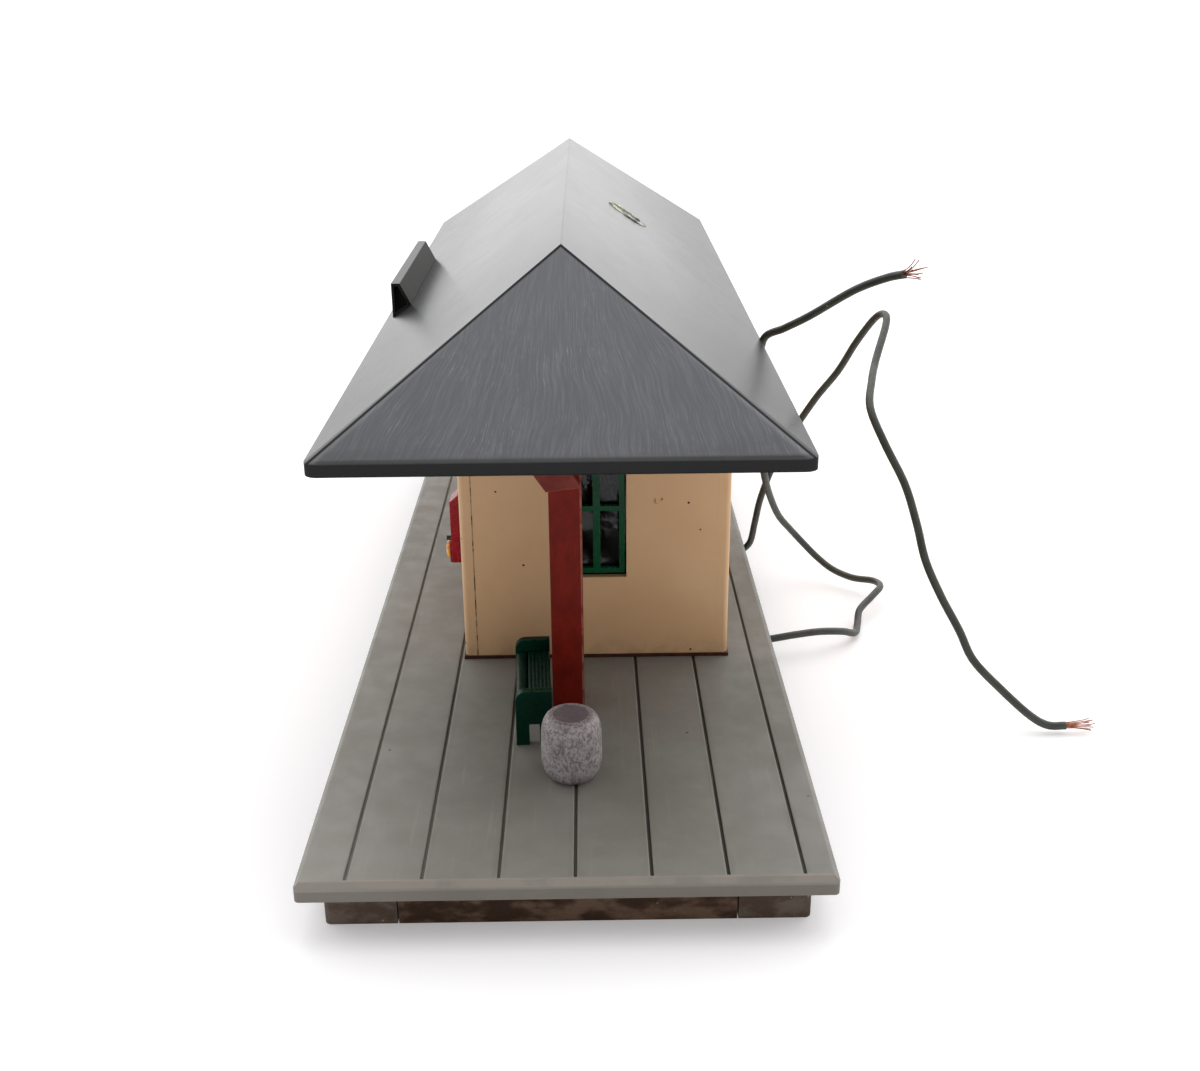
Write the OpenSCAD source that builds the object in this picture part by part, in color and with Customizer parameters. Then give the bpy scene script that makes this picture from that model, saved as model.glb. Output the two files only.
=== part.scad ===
// Model railway station for an O-gauge layout: a planked platform on a skirt, a lit station
// house under a lift-off hipped roof, two roof posts, a bench, a barrel and a wall box.
// X runs across the platform with the track on the -X side, Y runs along it, and Z is up
// from the surface that the skirt rests on. All sizes are in millimetres.

/* [Platform] */
// Width of the planked deck
deck_w = 120; // [118:0.5:124]
// Length of the planked deck
deck_l = 390; // [380:1:410]
// Height of the deck's top above the ground
deck_top = 15; // [14:0.5:17]
// Thickness of the deck between its planks and its underside
deck_plate = 2.5; // [2:0.1:3]
// Depth of the lip that runs round the deck's edge
deck_lip = 4.5; // [3.5:0.1:5]
// Width of the bevel along the deck's top edge
deck_bevel = 1.2; // [0.6:0.1:1.6]
// Distance between the grooves that mark the planks
plank_pitch = 16.85; // [16:0.05:17.2]
// Thickness of the skirt boards under the deck
skirt_t = 3; // [2.4:0.1:3.6]
// Length of each leg of a corner block
corner_leg = 16.5; // [15:0.5:20]

/* [House] */
// Distance of the house's middle from the platform's middle
house_x = 7.5; // [6:0.5:9]
// Width of the house across the platform
house_w = 76; // [74:0.5:77]
// Length of the house along the platform
house_l = 176; // [170:1:180]
// Height of the wall tops above the ground
wall_top = 100; // [99:0.5:100.5]
// Thickness of the walls
wall_t = 2.3; // [2:0.1:2.6]
// Width of a window opening
window_w = 17.5; // [15:0.5:20]
// Height of a window opening
window_h = 41.4; // [36:0.2:44]
// Height of a window's middle above the ground
window_z = 61; // [58:0.5:62]
// Width of the door opening
door_w = 22; // [20:0.5:26]
// Height of the door opening's top above the ground
door_top = 68; // [62:0.5:72]

/* [Roof] */
// Width of the roof over its eaves
roof_w = 112; // [110:0.5:114]
// Length of the roof over its eaves
roof_l = 328; // [320:1:334]
// Height of the eave's underside above the ground
eave_z = 98; // [97.5:0.1:98.4]
// Height of the upright rim round the eave
rim_h = 3; // [2.4:0.1:3.6]
// Height of the ridge above the ground
ridge_z = 140; // [136:0.5:146]
// Distance from an end eave to the end of the ridge
hip_run = 43.5; // [38:0.5:50]
// Thickness of the roof shell
roof_t = 2.2; // [2:0.1:2.4]
// Length of the name board on the roof
board_l = 74; // [60:1:90]

/* [Posts] */
// Width of a roof post
post_w = 8.5; // [7:0.5:9]
// Distance of a post's outer face from the platform's middle
post_y = 118; // [116:0.5:122]

/* [Bench and barrel] */
// Length of the bench
bench_l = 31.5; // [28:0.5:36]
// Depth of the bench from front to back
bench_d = 9.4; // [9.4:0.1:9.6]
// Height of the bench's end panels
bench_h = 15.5; // [14:0.5:17]
// Turn of the bench away from the platform's line, in degrees
bench_turn = 2.5; // [0:0.5:4]
// Greatest diameter of the barrel
barrel_d = 15.1; // [13:0.1:16]
// Diameter of the barrel's flat ends
barrel_end_d = 11.6; // [10:0.1:12.6]
// Height of the barrel
barrel_h = 17; // [14:0.1:18]

/* [Lamp and leads] */
// Height of the lamp bracket's shelf above the ground
shelf_z = 46; // [44:0.5:50]
// Diameter of the bulb's glass globe
globe_d = 13; // [11:0.5:14]
// Outside diameter of the insulated leads
lead_d = 2.3; // [2:0.1:2.3]

/* [Hidden] */

// Colours
plank_grey = "#8d8f88";
skirt_grey = "#7d7a70";
wall_cream = "#dcc9a6";
sole_brown = "#6e3a2a";
frame_green = "#14703f";
film_clear = [0.8, 0.84, 0.86, 0.45];
post_red = "#9c3a30";
box_red = "#b3232c";
roof_grey = "#3f444c";
bench_green = "#174a37";
barrel_silver = "#a5a3a8";
steel = "#b9bcc0";
brass = "#c9a24b";
fibre_brown = "#7a4a2c";
rubber_black = "#26272a";
lead_olive = "#3c4238";
copper = "#b4603a";

eps = 0.01;                  // overlap that keeps a cut clean
fit = 0.05;                  // clearance round a shaft or a lead in its hole
smooth = 64;                 // facets of the round pieces

// Platform
skirt_x = deck_w / 2 - 5;    // outer face of the skirt's long sides
skirt_y = deck_l / 2 - 6;    // outer face of the skirt's ends
skirt_h = deck_top - deck_plate;
deck_corner_r = 1.3;
lip_w = 2.5;
groove_w = 0.8;
groove_depth = 0.45;
groove_margin = 1.7;         // groove end to the deck's end
groove_count = 7;
first_groove_x = -48.7;
seam = 0.3;                  // gap between a skirt board and a corner block
corner_screw_in = 8.5;       // screw axis from the skirt's outer faces
corner_flange_z = 3;
corner_flange_t = 2;
corner_flange_w = 12.5;
screw_r = 1.2;
screw_head_r = 2.3;
screw_head_h = 1.5;
screw_slot_w = 0.6;
boss_r = 3;

// House
house_x0 = house_x - house_w / 2;
house_x1 = house_x + house_w / 2;
house_y = house_l / 2;
sole_t = 1;
sole_w = 3.1;
sole_proud = 0.3;
wall_base = deck_top + sole_t;
wall_corner_r = 1.5;
wall_return = 3.6;            // long wall's reach round a corner of the house
frame_t = 1.6;
frame_border = 1.5;
frame_bar = 2;                // upright bar
frame_bar_x = 0.4;            // upright bar's middle to the opening's middle
frame_transom = 1.4;          // level bar
frame_inset = 0.5;           // frame's front behind the wall's face
frame_gap = 0.15;
frame_gap_right = 0.5;
frame_gap_low = 1.2;
film_t = 0.4;
film_lap = 2;                // film beyond the opening's edge
track_window_y = [-50, 50];
rear_window_y = [-52, 0, 52];
door_border = 2;
door_t = 1.4;
transom_z = 54;
box_y = -76.5;
box_z = 42;

// Roof
hip_y = roof_l / 2 - hip_run;            // end of the ridge
slope_rise = ridge_z - eave_z - rim_h;
side_slope = slope_rise / (roof_w / 2);
side_angle = atan(side_slope);
hip_angle = atan(slope_rise / hip_run);
inner_drop = roof_t / cos(side_angle);   // shell thickness measured upright
inner_hip_y = hip_y + (inner_drop - roof_t / cos(hip_angle)) / tan(hip_angle);
roof_corner_r = 3;
ridge_w = 0.002;              // width of the ridge line
rib_gap = 0.3;
rib_t = 1.5;
rib_depth = 3;
board_x = -53;               // outer face of the name board
board_y = 4;
board_h = 113.5;
board_top_w = 2.6;
board_foot_x = -47.2;
board_wall = 0.8;
board_recess = 4;
glue_x = 19.4;
glue_y = 13;
glue_r = 7;
glue_w = 1.8;
glue_t = 0.4;
glue_lift = 0.01;             // keeps the ring's foot clear of the slope's face

// Posts
post_x = -0.25;              // post's middle from the platform's middle
beam_top = ridge_z - inner_drop - side_slope * 50 - 0.3;
beam_z = beam_top - 8;
beam_half = 50;
bracket_t = 3;
bracket_foot_z = deck_top + 63.3;

// Bench and barrel
bench_x = -13.5;             // front corner of the near end panel
bench_y = -137.2;
bench_end_t = 2;
bench_leg_w = 3.4;
bench_leg_gap_h = 6;
bench_corner_r = 2.8;
seat_z = 12.2;
slat_count = 6;
slat_w = 0.7;
slat_pitch = 1.05;
slat_t = 1.6;
first_slat_x = 3.7;
rail_r = 1.6;
barrel_x = 0.8;
barrel_y = -151;
barrel_steps = 12;
head_depth = 0.5;
head_gap = 0.05;

// Lamp
lamp_x = house_x;
strip_t = 0.8;
strip_w = 14;
foot_x0 = lamp_x - 20;
upright_x = lamp_x - 7.6;
shell_r = 5.25;
shell_bore_r = 4.65;
shell_z0 = 36;
shell_z1 = 54;
collar_r = 6.6;
insulator_t = 2.5;
plunger_r = 1.2;
plunger_head_r = 2.4;
plunger_z0 = 33;
plunger_head_z = 41.5;
plunger_head_t = 1.2;
spring_wire_r = 0.2;
spring_r = 1.85;
spring_turns = 4;
spring_steps = 12;
cap_r = shell_bore_r - fit;
cap_z0 = 43.5;
cap_z1 = 53;
tip_r = 1.5;
tip_h = 0.75;
pin_r = 0.8;
pin_z = 48;
pin_reach = 5.4;
slot_sweep = 25;
slot_half = 11;               // half of a slot's width, in degrees
globe_z = 64;
glass_t = 0.5;
neck_r = 4.1;

// Leads: each outer lead leaves its grommet level, and its route is laid by hand
lead_r = lead_d / 2;
lead_sides = 8;
exit_z = 6;
exit_a_y = -60;
exit_b_y = 12;
grommet_r = 2.2;
grommet_flange_r = 3.2;
grommet_flange_t = 0.8;
exit_x = skirt_x + grommet_flange_t;
deck_hole_x = 22;
deck_hole_r = 4.2;
lead_spacing = 1.6;          // each lead from the middle of the deck grommet
strand_r = 0.16;
inner_route_a = [
    [14.1, 0, 36.85], [14.1, 0, 32], [16, -1, 25], [20, -1.6, 21], [22, -1.6, 17],
    [22, -1.6, 10], [23, -4, 8], [26, -14, 7], [32, -30, 6], [40, -48, 6],
    [46, -58, 6], [51, -60, 6], [exit_x, exit_a_y, exit_z]
];
inner_route_b = [
    [lamp_x, 0, 31.4], [lamp_x, 0, 28], [13, 1, 21.5], [19, 1.6, 19.5], [22, 1.6, 17],
    [22, 1.6, 10], [24, 4, 8], [29, 8, 7], [36, 11, 6], [44, 12, 6],
    [51, 12, 6], [exit_x, exit_b_y, exit_z]
];
route_a = [
    [exit_x, exit_a_y, exit_z], [61, -60, 6], [70, -59, 7], [78, -57, 7], [86, -53, 5],
    [91, -48, 2], [93, -42, 2], [95, -35, 4], [100, -29, 6], [104, -23, 7],
    [103, -16, 6], [97, -11, 5], [91, -6, 6], [86, -2, 9], [81, -1, 14],
    [76, -3, 20], [71, -8, 27], [67, -15, 36], [63, -26, 48], [60, -36, 62],
    [58, -42, 76], [57.6, -46, 89], [57.9, -50, 99.5], [63.2, -55, 103.8], [69.5, -60, 108.5],
    [79.8, -69, 117.5], [87.1, -75, 122], [91.2, -79, 123.8]
];
route_b = [
    [exit_x, exit_b_y, exit_z], [60, 12, 6], [63.5, 10, 10], [64.5, 6, 19], [65.5, 1, 30],
    [68, -4, 42], [71, -8, 52], [76, -11, 62], [81, -13, 71], [87, -15, 80],
    [91.6, -18, 90], [95.8, -23, 98.7], [97.7, -28, 101.4], [97.2, -34, 99.7], [92, -47, 92],
    [89, -57, 88], [87, -67, 83], [90, -75, 75], [95, -82, 65], [98, -87, 55],
    [100, -92, 46], [104, -96, 37], [109, -100, 28], [113, -103, 20], [121, -106, 12],
    [129, -108, 5], [134, -109, 2.4], [139, -109, 2.2]
];

// Height of the roof's outer surface at a distance from the ridge line
function slope_z(x) = ridge_z - side_slope * abs(x);

function unit(v) = v / norm(v);

// Direction of a route at one of its points
function heading(path, i) =
    unit(path[min(i + 1, len(path) - 1)] - path[max(i - 1, 0)]);

// Side directions carried along a route without twisting, one for each point
function carried(path, side, i = 0) =
    let (t = heading(path, i), s = unit(side - (side * t) * t))
    i == len(path) - 1 ? [s] : concat([s], carried(path, s, i + 1));

// Round tube swept through the points of a route
module tube(path, r, sides = lead_sides, side = [0, 0, 1]) {
    across = carried(path, side);
    rings = len(path);
    points = [
        for (i = [0:rings - 1])
            let (u = across[i], v = cross(heading(path, i), u))
            for (k = [0:sides - 1])
                path[i] + r * (cos(360 * k / sides) * u + sin(360 * k / sides) * v)
    ];
    walls = [
        for (i = [0:rings - 2], k = [0:sides - 1])
            let (a = i * sides + k, b = i * sides + (k + 1) % sides)
            each [[a, a + sides, b], [b, a + sides, b + sides]]
    ];
    first_cap = [for (k = [0:sides - 1]) k];
    last_cap = [for (k = [sides - 1:-1:0]) (rings - 1) * sides + k];
    polyhedron(points, concat(walls, [first_cap], [last_cap]));
}

// Box between two opposite corners
module block(low, high) {
    translate(low)
        cube(high - low);
}

// Straight round rod between two points
module rod(from, to, r) {
    d = to - from;
    translate(from)
        rotate([0, acos(d[2] / norm(d)), atan2(d[1], d[0])])
            cylinder(r = r, h = norm(d), $fn = 16);
}

// Copy at the near end and mirrored at the far end
module far_side(far) {
    if (far)
        mirror([0, 1, 0])
            children();
    else
        children();
}

// Rectangle with round corners, centred
module round_rect(w, l, r) {
    square([w - 2 * r, l], center = true);
    square([w, l - 2 * r], center = true);
    for (x = [-1, 1], y = [-1, 1])
        translate([x * (w / 2 - r), y * (l / 2 - r)])
            circle(r = r, $fn = smooth);
}

// ---- Platform ----

// Long bar with its two top edges bevelled
module bevelled_bar(w, l) {
    rotate([90, 0, 0])
        linear_extrude(l, center = true)
            polygon([
                [-w / 2, 0], [w / 2, 0], [w / 2, deck_lip - deck_bevel],
                [w / 2 - deck_bevel, deck_lip], [deck_bevel - w / 2, deck_lip],
                [-w / 2, deck_lip - deck_bevel]
            ]);
}

module at_corner_screws() {
    for (x = [-1, 1], y = [-1, 1])
        translate([x * (skirt_x - corner_screw_in), y * (skirt_y - corner_screw_in), 0])
            children();
}

module deck() {
    lip_z = deck_top - deck_lip;
    under_h = deck_lip - deck_plate;
    color(plank_grey)
    difference() {
        union() {
            translate([0, 0, lip_z])
                intersection() {
                    linear_extrude(deck_lip)
                        round_rect(deck_w, deck_l, deck_corner_r);
                    bevelled_bar(deck_w, deck_l + 1);
                    rotate([0, 0, 90])
                        bevelled_bar(deck_l, deck_w + 1);
                }
            at_corner_screws()
                translate([0, 0, corner_flange_z + corner_flange_t])
                    cylinder(r = boss_r, h = skirt_h - corner_flange_z - corner_flange_t + eps,
                             $fn = smooth);
        }
        difference() {
            translate([0, 0, lip_z - eps])
                linear_extrude(under_h + eps)
                    square([deck_w - 2 * lip_w, deck_l - 2 * lip_w], center = true);
            at_corner_screws()
                cylinder(r = boss_r, h = deck_top, $fn = smooth);
        }
        for (i = [0:groove_count - 1])
            translate([first_groove_x + i * plank_pitch, 0, deck_top - groove_depth / 2])
                cube([groove_w, deck_l - 2 * groove_margin, groove_depth + eps], center = true);
        at_corner_screws()
            cylinder(r = screw_r + fit, h = deck_top - 2, $fn = smooth);
        translate([deck_hole_x, 0, lip_z])
            cylinder(r = deck_hole_r, h = deck_lip + 1, $fn = smooth);
    }
}

module skirt_end(far) {
    half = skirt_x - corner_leg - seam;
    color(skirt_grey)
        far_side(far)
            block([-half, -skirt_y, 0], [half, skirt_t - skirt_y, skirt_h]);
}

module skirt_near() { skirt_end(false); }

module skirt_far() { skirt_end(true); }

module skirt_track() {
    half = skirt_y - corner_leg - seam;
    color(skirt_grey)
        block([-skirt_x, -half, 0], [skirt_t - skirt_x, half, skirt_h]);
}

module skirt_rear() {
    half = skirt_y - corner_leg - seam;
    color(skirt_grey)
        difference() {
            block([skirt_x - skirt_t, -half, 0], [skirt_x, half, skirt_h]);
            for (y = [exit_a_y, exit_b_y])
                translate([skirt_x - skirt_t - 1, y, exit_z])
                    rotate([0, 90, 0])
                        cylinder(r = grommet_r, h = skirt_t + 2, $fn = smooth);
        }
}

// Corner block in the +X +Y corner: an angle with a flange that takes the screw
module corner_block() {
    r = wall_corner_r;
    difference() {
        union() {
            linear_extrude(skirt_h)
                difference() {
                    translate([skirt_x - corner_leg, skirt_y - corner_leg])
                        square(corner_leg);
                    translate([skirt_x - corner_leg - 1, skirt_y - corner_leg - 1])
                        square(corner_leg + 1 - skirt_t);
                    difference() {
                        translate([skirt_x - r, skirt_y - r])
                            square(r + 1);
                        translate([skirt_x - r, skirt_y - r])
                            circle(r = r, $fn = smooth);
                    }
                }
            block([skirt_x - corner_flange_w, skirt_y - corner_flange_w, corner_flange_z],
                  [skirt_x - skirt_t + eps, skirt_y - skirt_t + eps,
                   corner_flange_z + corner_flange_t]);
        }
        translate([skirt_x - corner_screw_in, skirt_y - corner_screw_in, 0])
            cylinder(r = screw_r + fit, h = skirt_h, $fn = smooth);
    }
}

module corner_blocks() {
    color(skirt_grey)
        for (x = [0, 1], y = [0, 1])
            mirror([x, 0, 0])
                mirror([0, y, 0])
                    corner_block();
}

// Pan-head screw that points up, its head's top at z = 0
module screw_up(shank) {
    difference() {
        union() {
            translate([0, 0, -screw_head_h])
                cylinder(r = screw_head_r, h = screw_head_h, $fn = smooth);
            cylinder(r = screw_r, h = shank, $fn = smooth);
        }
        translate([0, 0, -screw_head_h])
            cube([2 * screw_head_r + 1, screw_slot_w, screw_head_h], center = true);
    }
}

module corner_screws() {
    color(steel)
        at_corner_screws()
            translate([0, 0, corner_flange_z])
                screw_up(9);
}

// ---- House ----

module house_outline() {
    r = wall_corner_r;
    translate([house_x, 0])
        round_rect(house_w, house_l, r);
}

module house_sole() {
    w = house_w + 2 * sole_proud;
    l = house_l + 2 * sole_proud;
    color(sole_brown)
        translate([house_x, 0, deck_top])
            linear_extrude(sole_t)
                difference() {
                    square([w, l], center = true);
                    square([w - 2 * sole_w, l - 2 * sole_w], center = true);
                }
}

// Opening through a wall, centred on the Y axis line, from low to high
module hole_through_end(x, w, z0, z1) {
    block([x - w / 2, -house_y - 1, z0], [x + w / 2, house_y + 1, z1]);
}

module window_cut_end() {
    hole_through_end(house_x, window_w, window_z - window_h / 2, window_z + window_h / 2);
}

module end_wall(far) {
    color(wall_cream)
        far_side(far)
            difference() {
                block([house_x0 + wall_return, -house_y, wall_base],
                      [house_x1 - wall_return, wall_t - house_y, wall_top]);
                window_cut_end();
            }
}

module wall_near() { end_wall(false); }

module wall_far() { end_wall(true); }

// Long wall whose outer face is at X = from, with a return round each corner of the house
module long_wall(from, inward) {
    to = from + inward * wall_t;
    corner = from + inward * wall_return;
    translate([0, 0, wall_base])
        linear_extrude(wall_top - wall_base)
            intersection() {
                house_outline();
                union() {
                    translate([min(from, to), -house_y])
                        square([wall_t, house_l]);
                    for (y = [-house_y, house_y - wall_t])
                        translate([min(from, corner), y])
                            square([wall_return, wall_t]);
                }
            }
}

module window_cut_long(y) {
    block([house_x0 - 1, y - window_w / 2, window_z - window_h / 2],
          [house_x1 + 1, y + window_w / 2, window_z + window_h / 2]);
}

module wall_track() {
    color(wall_cream)
        difference() {
            long_wall(house_x0, 1);
            for (y = track_window_y)
                window_cut_long(y);
            block([house_x0 - 1, -door_w / 2, wall_base - 1],
                  [house_x0 + wall_t + 1, door_w / 2, door_top]);
        }
}

module wall_rear() {
    color(wall_cream)
        difference() {
            long_wall(house_x1, -1);
            for (y = rear_window_y)
                window_cut_long(y);
        }
}

// Window frame standing in the XZ plane, its front face at y = 0, in an opening centred on 0.
// It is a little small for the opening, so a gap shows along its right side and its foot.
module window_frame() {
    left = frame_gap - window_w / 2;
    right = window_w / 2 - frame_gap_right;
    low = frame_gap_low - window_h / 2;
    high = window_h / 2 - frame_gap;
    columns = [
        [left + frame_border, frame_bar_x - frame_bar / 2],
        [frame_bar_x + frame_bar / 2, right - frame_border]
    ];
    rows = [
        [low + frame_border, -frame_transom / 2],
        [frame_transom / 2, high - frame_border]
    ];
    rotate([90, 0, 0])
        translate([0, 0, -frame_t])
            linear_extrude(frame_t)
                difference() {
                    translate([left, low])
                        square([right - left, high - low]);
                    for (x = columns, z = rows)
                        translate([x[0], z[0]])
                            square([x[1] - x[0], z[1] - z[0]]);
                }
}

// Moves a piece made for the XZ plane into a wall: near end, far end, track or rear
module in_wall(side, along) {
    if (side == "near")
        translate([house_x + along, -house_y, 0])
            children();
    else if (side == "far")
        translate([house_x + along, house_y, 0])
            rotate([0, 0, 180])
                children();
    else if (side == "track")
        translate([house_x0, along, 0])
            rotate([0, 0, -90])
                children();
    else
        translate([house_x1, along, 0])
            rotate([0, 0, 90])
                children();
}

module window_set(side, places) {
    color(frame_green)
        for (along = places)
            in_wall(side, along)
                translate([0, frame_inset, window_z])
                    window_frame();
}

module window_near() { window_set("near", [0]); }

module window_far() { window_set("far", [0]); }

module windows_track() { window_set("track", track_window_y); }

module windows_rear() { window_set("rear", rear_window_y); }

// Clear film behind an opening, against the wall's inner face
module film(w, z0, z1) {
    block([-w / 2 - film_lap, wall_t, z0 - film_lap],
          [w / 2 + film_lap, wall_t + film_t, z1 + film_lap]);
}

module film_set(side, places) {
    color(film_clear)
        for (along = places)
            in_wall(side, along)
                film(window_w, window_z - window_h / 2, window_z + window_h / 2);
}

module film_near() { film_set("near", [0]); }

module film_far() { film_set("far", [0]); }

module film_track() {
    film_set("track", track_window_y);
    color(film_clear)
        in_wall("track", 0)
            film(door_w - 2, transom_z + 1, door_top - 1);
}

module film_rear() { film_set("rear", rear_window_y); }

module door_frame() {
    half = door_w / 2 - frame_gap;
    color(frame_green)
        in_wall("track", 0)
            difference() {
                block([-half, frame_inset, wall_base], [half, frame_inset + frame_t, door_top - frame_gap]);
                block([door_border - half, -1, wall_base - 1],
                      [half - door_border, wall_t, transom_z]);
                block([door_border - half, -1, transom_z + door_border],
                      [half - door_border, wall_t, door_top - door_border]);
            }
}

module door_panel() {
    half = door_w / 2 - frame_gap - door_border - frame_gap;
    inset = 2.2;
    panel_gap = 2;
    middle_z = (wall_base + transom_z) / 2;
    color(frame_green)
        in_wall("track", 0)
            difference() {
                block([-half, frame_inset + 0.2, wall_base],
                      [half, frame_inset + 0.2 + door_t, transom_z - frame_gap]);
                for (z = [[wall_base + inset, middle_z - panel_gap / 2],
                          [middle_z + panel_gap / 2, transom_z - inset]])
                    block([inset - half, 0, z[0]], [half - inset, frame_inset + 0.7, z[1]]);
            }
}

module door_knob() {
    color(brass)
        in_wall("track", 0)
            translate([6.2, frame_inset + 0.2, 34])
                rotate([90, 0, 0])
                    rotate_extrude($fn = smooth)
                        polygon([[0, 0], [0.5, 0], [0.5, 0.5], [1, 0.9], [1, 1.4], [0.6, 1.8], [0, 1.8]]);
}

// ---- Wall box, on the track wall ----

box_back_t = 3.3;
box_half_w = 3.5;
box_h = 20.5;
box_case_h = 6;
box_case_t = 0.5;
box_flap_t = 1.4;
box_knob_r = 0.7;

module box_back() {
    x = house_x0 - box_back_t;
    color(box_red)
        translate([0, box_y + box_half_w, 0])
            rotate([90, 0, 0])
                linear_extrude(2 * box_half_w)
                    polygon([
                        [house_x0, box_z], [house_x0, box_z + box_h],
                        [house_x0 - 1, box_z + box_h], [x, box_z + box_h - 2], [x, box_z]
                    ]);
}

module box_case() {
    x = house_x0 - box_back_t;
    color(box_red)
        block([x - box_case_t, box_y - box_half_w + 0.4, box_z],
              [x, box_y + box_half_w - 0.4, box_z + box_case_h]);
}

module box_flap() {
    x = house_x0 - box_back_t - box_case_t;
    color("#d99a1e")
        block([x - box_flap_t, box_y - box_half_w + 0.9, box_z + 0.6],
              [x, box_y + box_half_w - 0.9, box_z + box_case_h]);
}

module box_knob() {
    x = house_x0 - box_back_t;
    color("#4a4444")
        translate([x - 1.4, box_y - box_half_w + 1.7, box_z + box_case_h + 1.1])
            rotate([0, 90, 0])
                cylinder(r = box_knob_r, h = 1.4, $fn = smooth);
}

// ---- Roof ----

// Hipped solid: a flat rim with round corners, drawn up to the ridge
module hipped(w, l, r, z0, z1, ridge_half, top) {
    hull() {
        translate([0, 0, z0])
            linear_extrude(z1 - z0)
                for (x = [-1, 1], y = [-1, 1])
                    translate([x * (w / 2 - r), y * (l / 2 - r)])
                        circle(r = r, $fn = 32);
        translate([-ridge_w / 2, -ridge_half, top - ridge_w])
            cube([ridge_w, 2 * ridge_half, ridge_w]);
    }
}

module roof_outside() {
    hipped(roof_w, roof_l, roof_corner_r, eave_z, eave_z + rim_h, hip_y, ridge_z);
}

module roof_inside() {
    w = roof_w - 2 * roof_t;
    rim_top = ridge_z - inner_drop - side_slope * w / 2;
    hipped(w, roof_l - 2 * roof_t, 1, eave_z - 1, rim_top, inner_hip_y, ridge_z - inner_drop);
}

// Upright ring of ribs: it stands on the wall tops and its tongue drops inside them
module roof_ribs() {
    tongue_w = house_w - 2 * wall_t - 2 * rib_gap;
    tongue_l = house_l - 2 * wall_t - 2 * rib_gap;
    inner_w = tongue_w - 2 * rib_t;
    inner_l = tongue_l - 2 * rib_t;
    translate([house_x, 0, wall_top])
        linear_extrude(ridge_z - wall_top)
            difference() {
                square([house_w, house_l], center = true);
                square([inner_w, inner_l], center = true);
            }
    translate([house_x, 0, wall_top - rib_depth])
        linear_extrude(rib_depth + eps)
            difference() {
                square([tongue_w, tongue_l], center = true);
                square([inner_w, inner_l], center = true);
            }
}

module roof_shell() {
    color(roof_grey)
        union() {
            difference() {
                roof_outside();
                roof_inside();
            }
            intersection() {
                roof_ribs();
                union() {
                    roof_outside();
                    block([-roof_w / 2, -roof_l / 2, wall_top - rib_depth - 1],
                          [roof_w / 2, roof_l / 2, eave_z + 1]);
                }
            }
        }
}

module board_outline() {
    polygon([
        [board_x, slope_z(board_x)], [board_x, board_h], [board_x + board_top_w, board_h],
        [board_foot_x, slope_z(board_foot_x)]
    ]);
}

module name_board() {
    color(roof_grey)
        translate([0, board_y, 0])
            rotate([90, 0, 0])
                difference() {
                    linear_extrude(board_l, center = true)
                        board_outline();
                    for (end = [-1, 1])
                        translate([0, 0, end * (board_l - board_recess) / 2])
                            linear_extrude(board_recess + eps, center = true)
                                offset(delta = -board_wall)
                                    board_outline();
                }
}

module chimney_glue() {
    color("#9a9c80")
        translate([glue_x, glue_y, slope_z(glue_x)])
            rotate([0, side_angle, 0])
                translate([0, 0, glue_lift])
                    difference() {
                        cylinder(r = glue_r, h = glue_t, $fn = smooth);
                        translate([0, 0, -1])
                            cylinder(r = glue_r - glue_w, h = glue_t + 2, $fn = smooth);
                    }
}

// ---- Roof posts ----

module post(far) {
    color(post_red)
        far_side(far)
            block([post_x - post_w / 2, -post_y, deck_top],
                  [post_x + post_w / 2, post_w - post_y, beam_z]);
}

module post_near() { post(false); }

module post_far() { post(true); }

module beam(far) {
    color(post_red)
        far_side(far)
            block([-beam_half, -post_y - bracket_t, beam_z], [beam_half, post_w - post_y, beam_top]);
}

module beam_near() { beam(false); }

module beam_far() { beam(true); }

// Bracket that leans from the post's face towards the track side of the beam
module bracket(far) {
    foot_rise = 1;
    color(post_red)
        far_side(far)
            translate([0, -post_y, 0])
                rotate([90, 0, 0])
                    linear_extrude(bracket_t)
                        polygon([
                            [-5, bracket_foot_z], [3.6, bracket_foot_z + foot_rise],
                            [-4.6, beam_z], [-15.8, beam_z]
                        ]);
}

module bracket_near() { bracket(false); }

module bracket_far() { bracket(true); }

// ---- Bench ----

// Places the bench's own axes: x to its back, y along it and z up
module on_bench() {
    translate([bench_x, bench_y, deck_top])
        rotate([0, 0, bench_turn])
            children();
}

// End panel with a round front corner and a square gap between its legs
module bench_end(y) {
    r = bench_corner_r;
    color(bench_green)
        on_bench()
            translate([0, y + bench_end_t, 0])
                rotate([90, 0, 0])
                    linear_extrude(bench_end_t)
                        difference() {
                            union() {
                                square([bench_d, bench_h - r]);
                                translate([r, 0])
                                    square([bench_d - r, bench_h]);
                                translate([r, bench_h - r])
                                    circle(r = r, $fn = smooth);
                            }
                            translate([bench_leg_w, -1])
                                square([bench_d - 2 * bench_leg_w, bench_leg_gap_h + 1]);
                        }
}

module bench_end_near() { bench_end(0); }

module bench_end_far() { bench_end(bench_l - bench_end_t); }

module bench_slats() {
    inside_l = bench_l - 2 * bench_end_t;
    color(bench_green)
        on_bench()
            translate([0, bench_end_t, 0]) {
                for (i = [0:slat_count - 1])
                    translate([first_slat_x + i * slat_pitch - slat_w / 2, 0, seat_z - slat_t])
                        cube([slat_w, inside_l, slat_t]);
                translate([first_slat_x - slat_w / 2, 0, seat_z - slat_t - 1])
                    cube([slat_pitch * (slat_count - 1) + slat_w, inside_l, 1]);
            }
}

module bench_rail() {
    color(bench_green)
        on_bench()
            translate([rail_r + 0.1, bench_end_t, seat_z - rail_r])
                rotate([-90, 0, 0])
                    cylinder(r = rail_r, h = bench_l - 2 * bench_end_t, $fn = smooth);
}

// ---- Barrel ----

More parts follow.
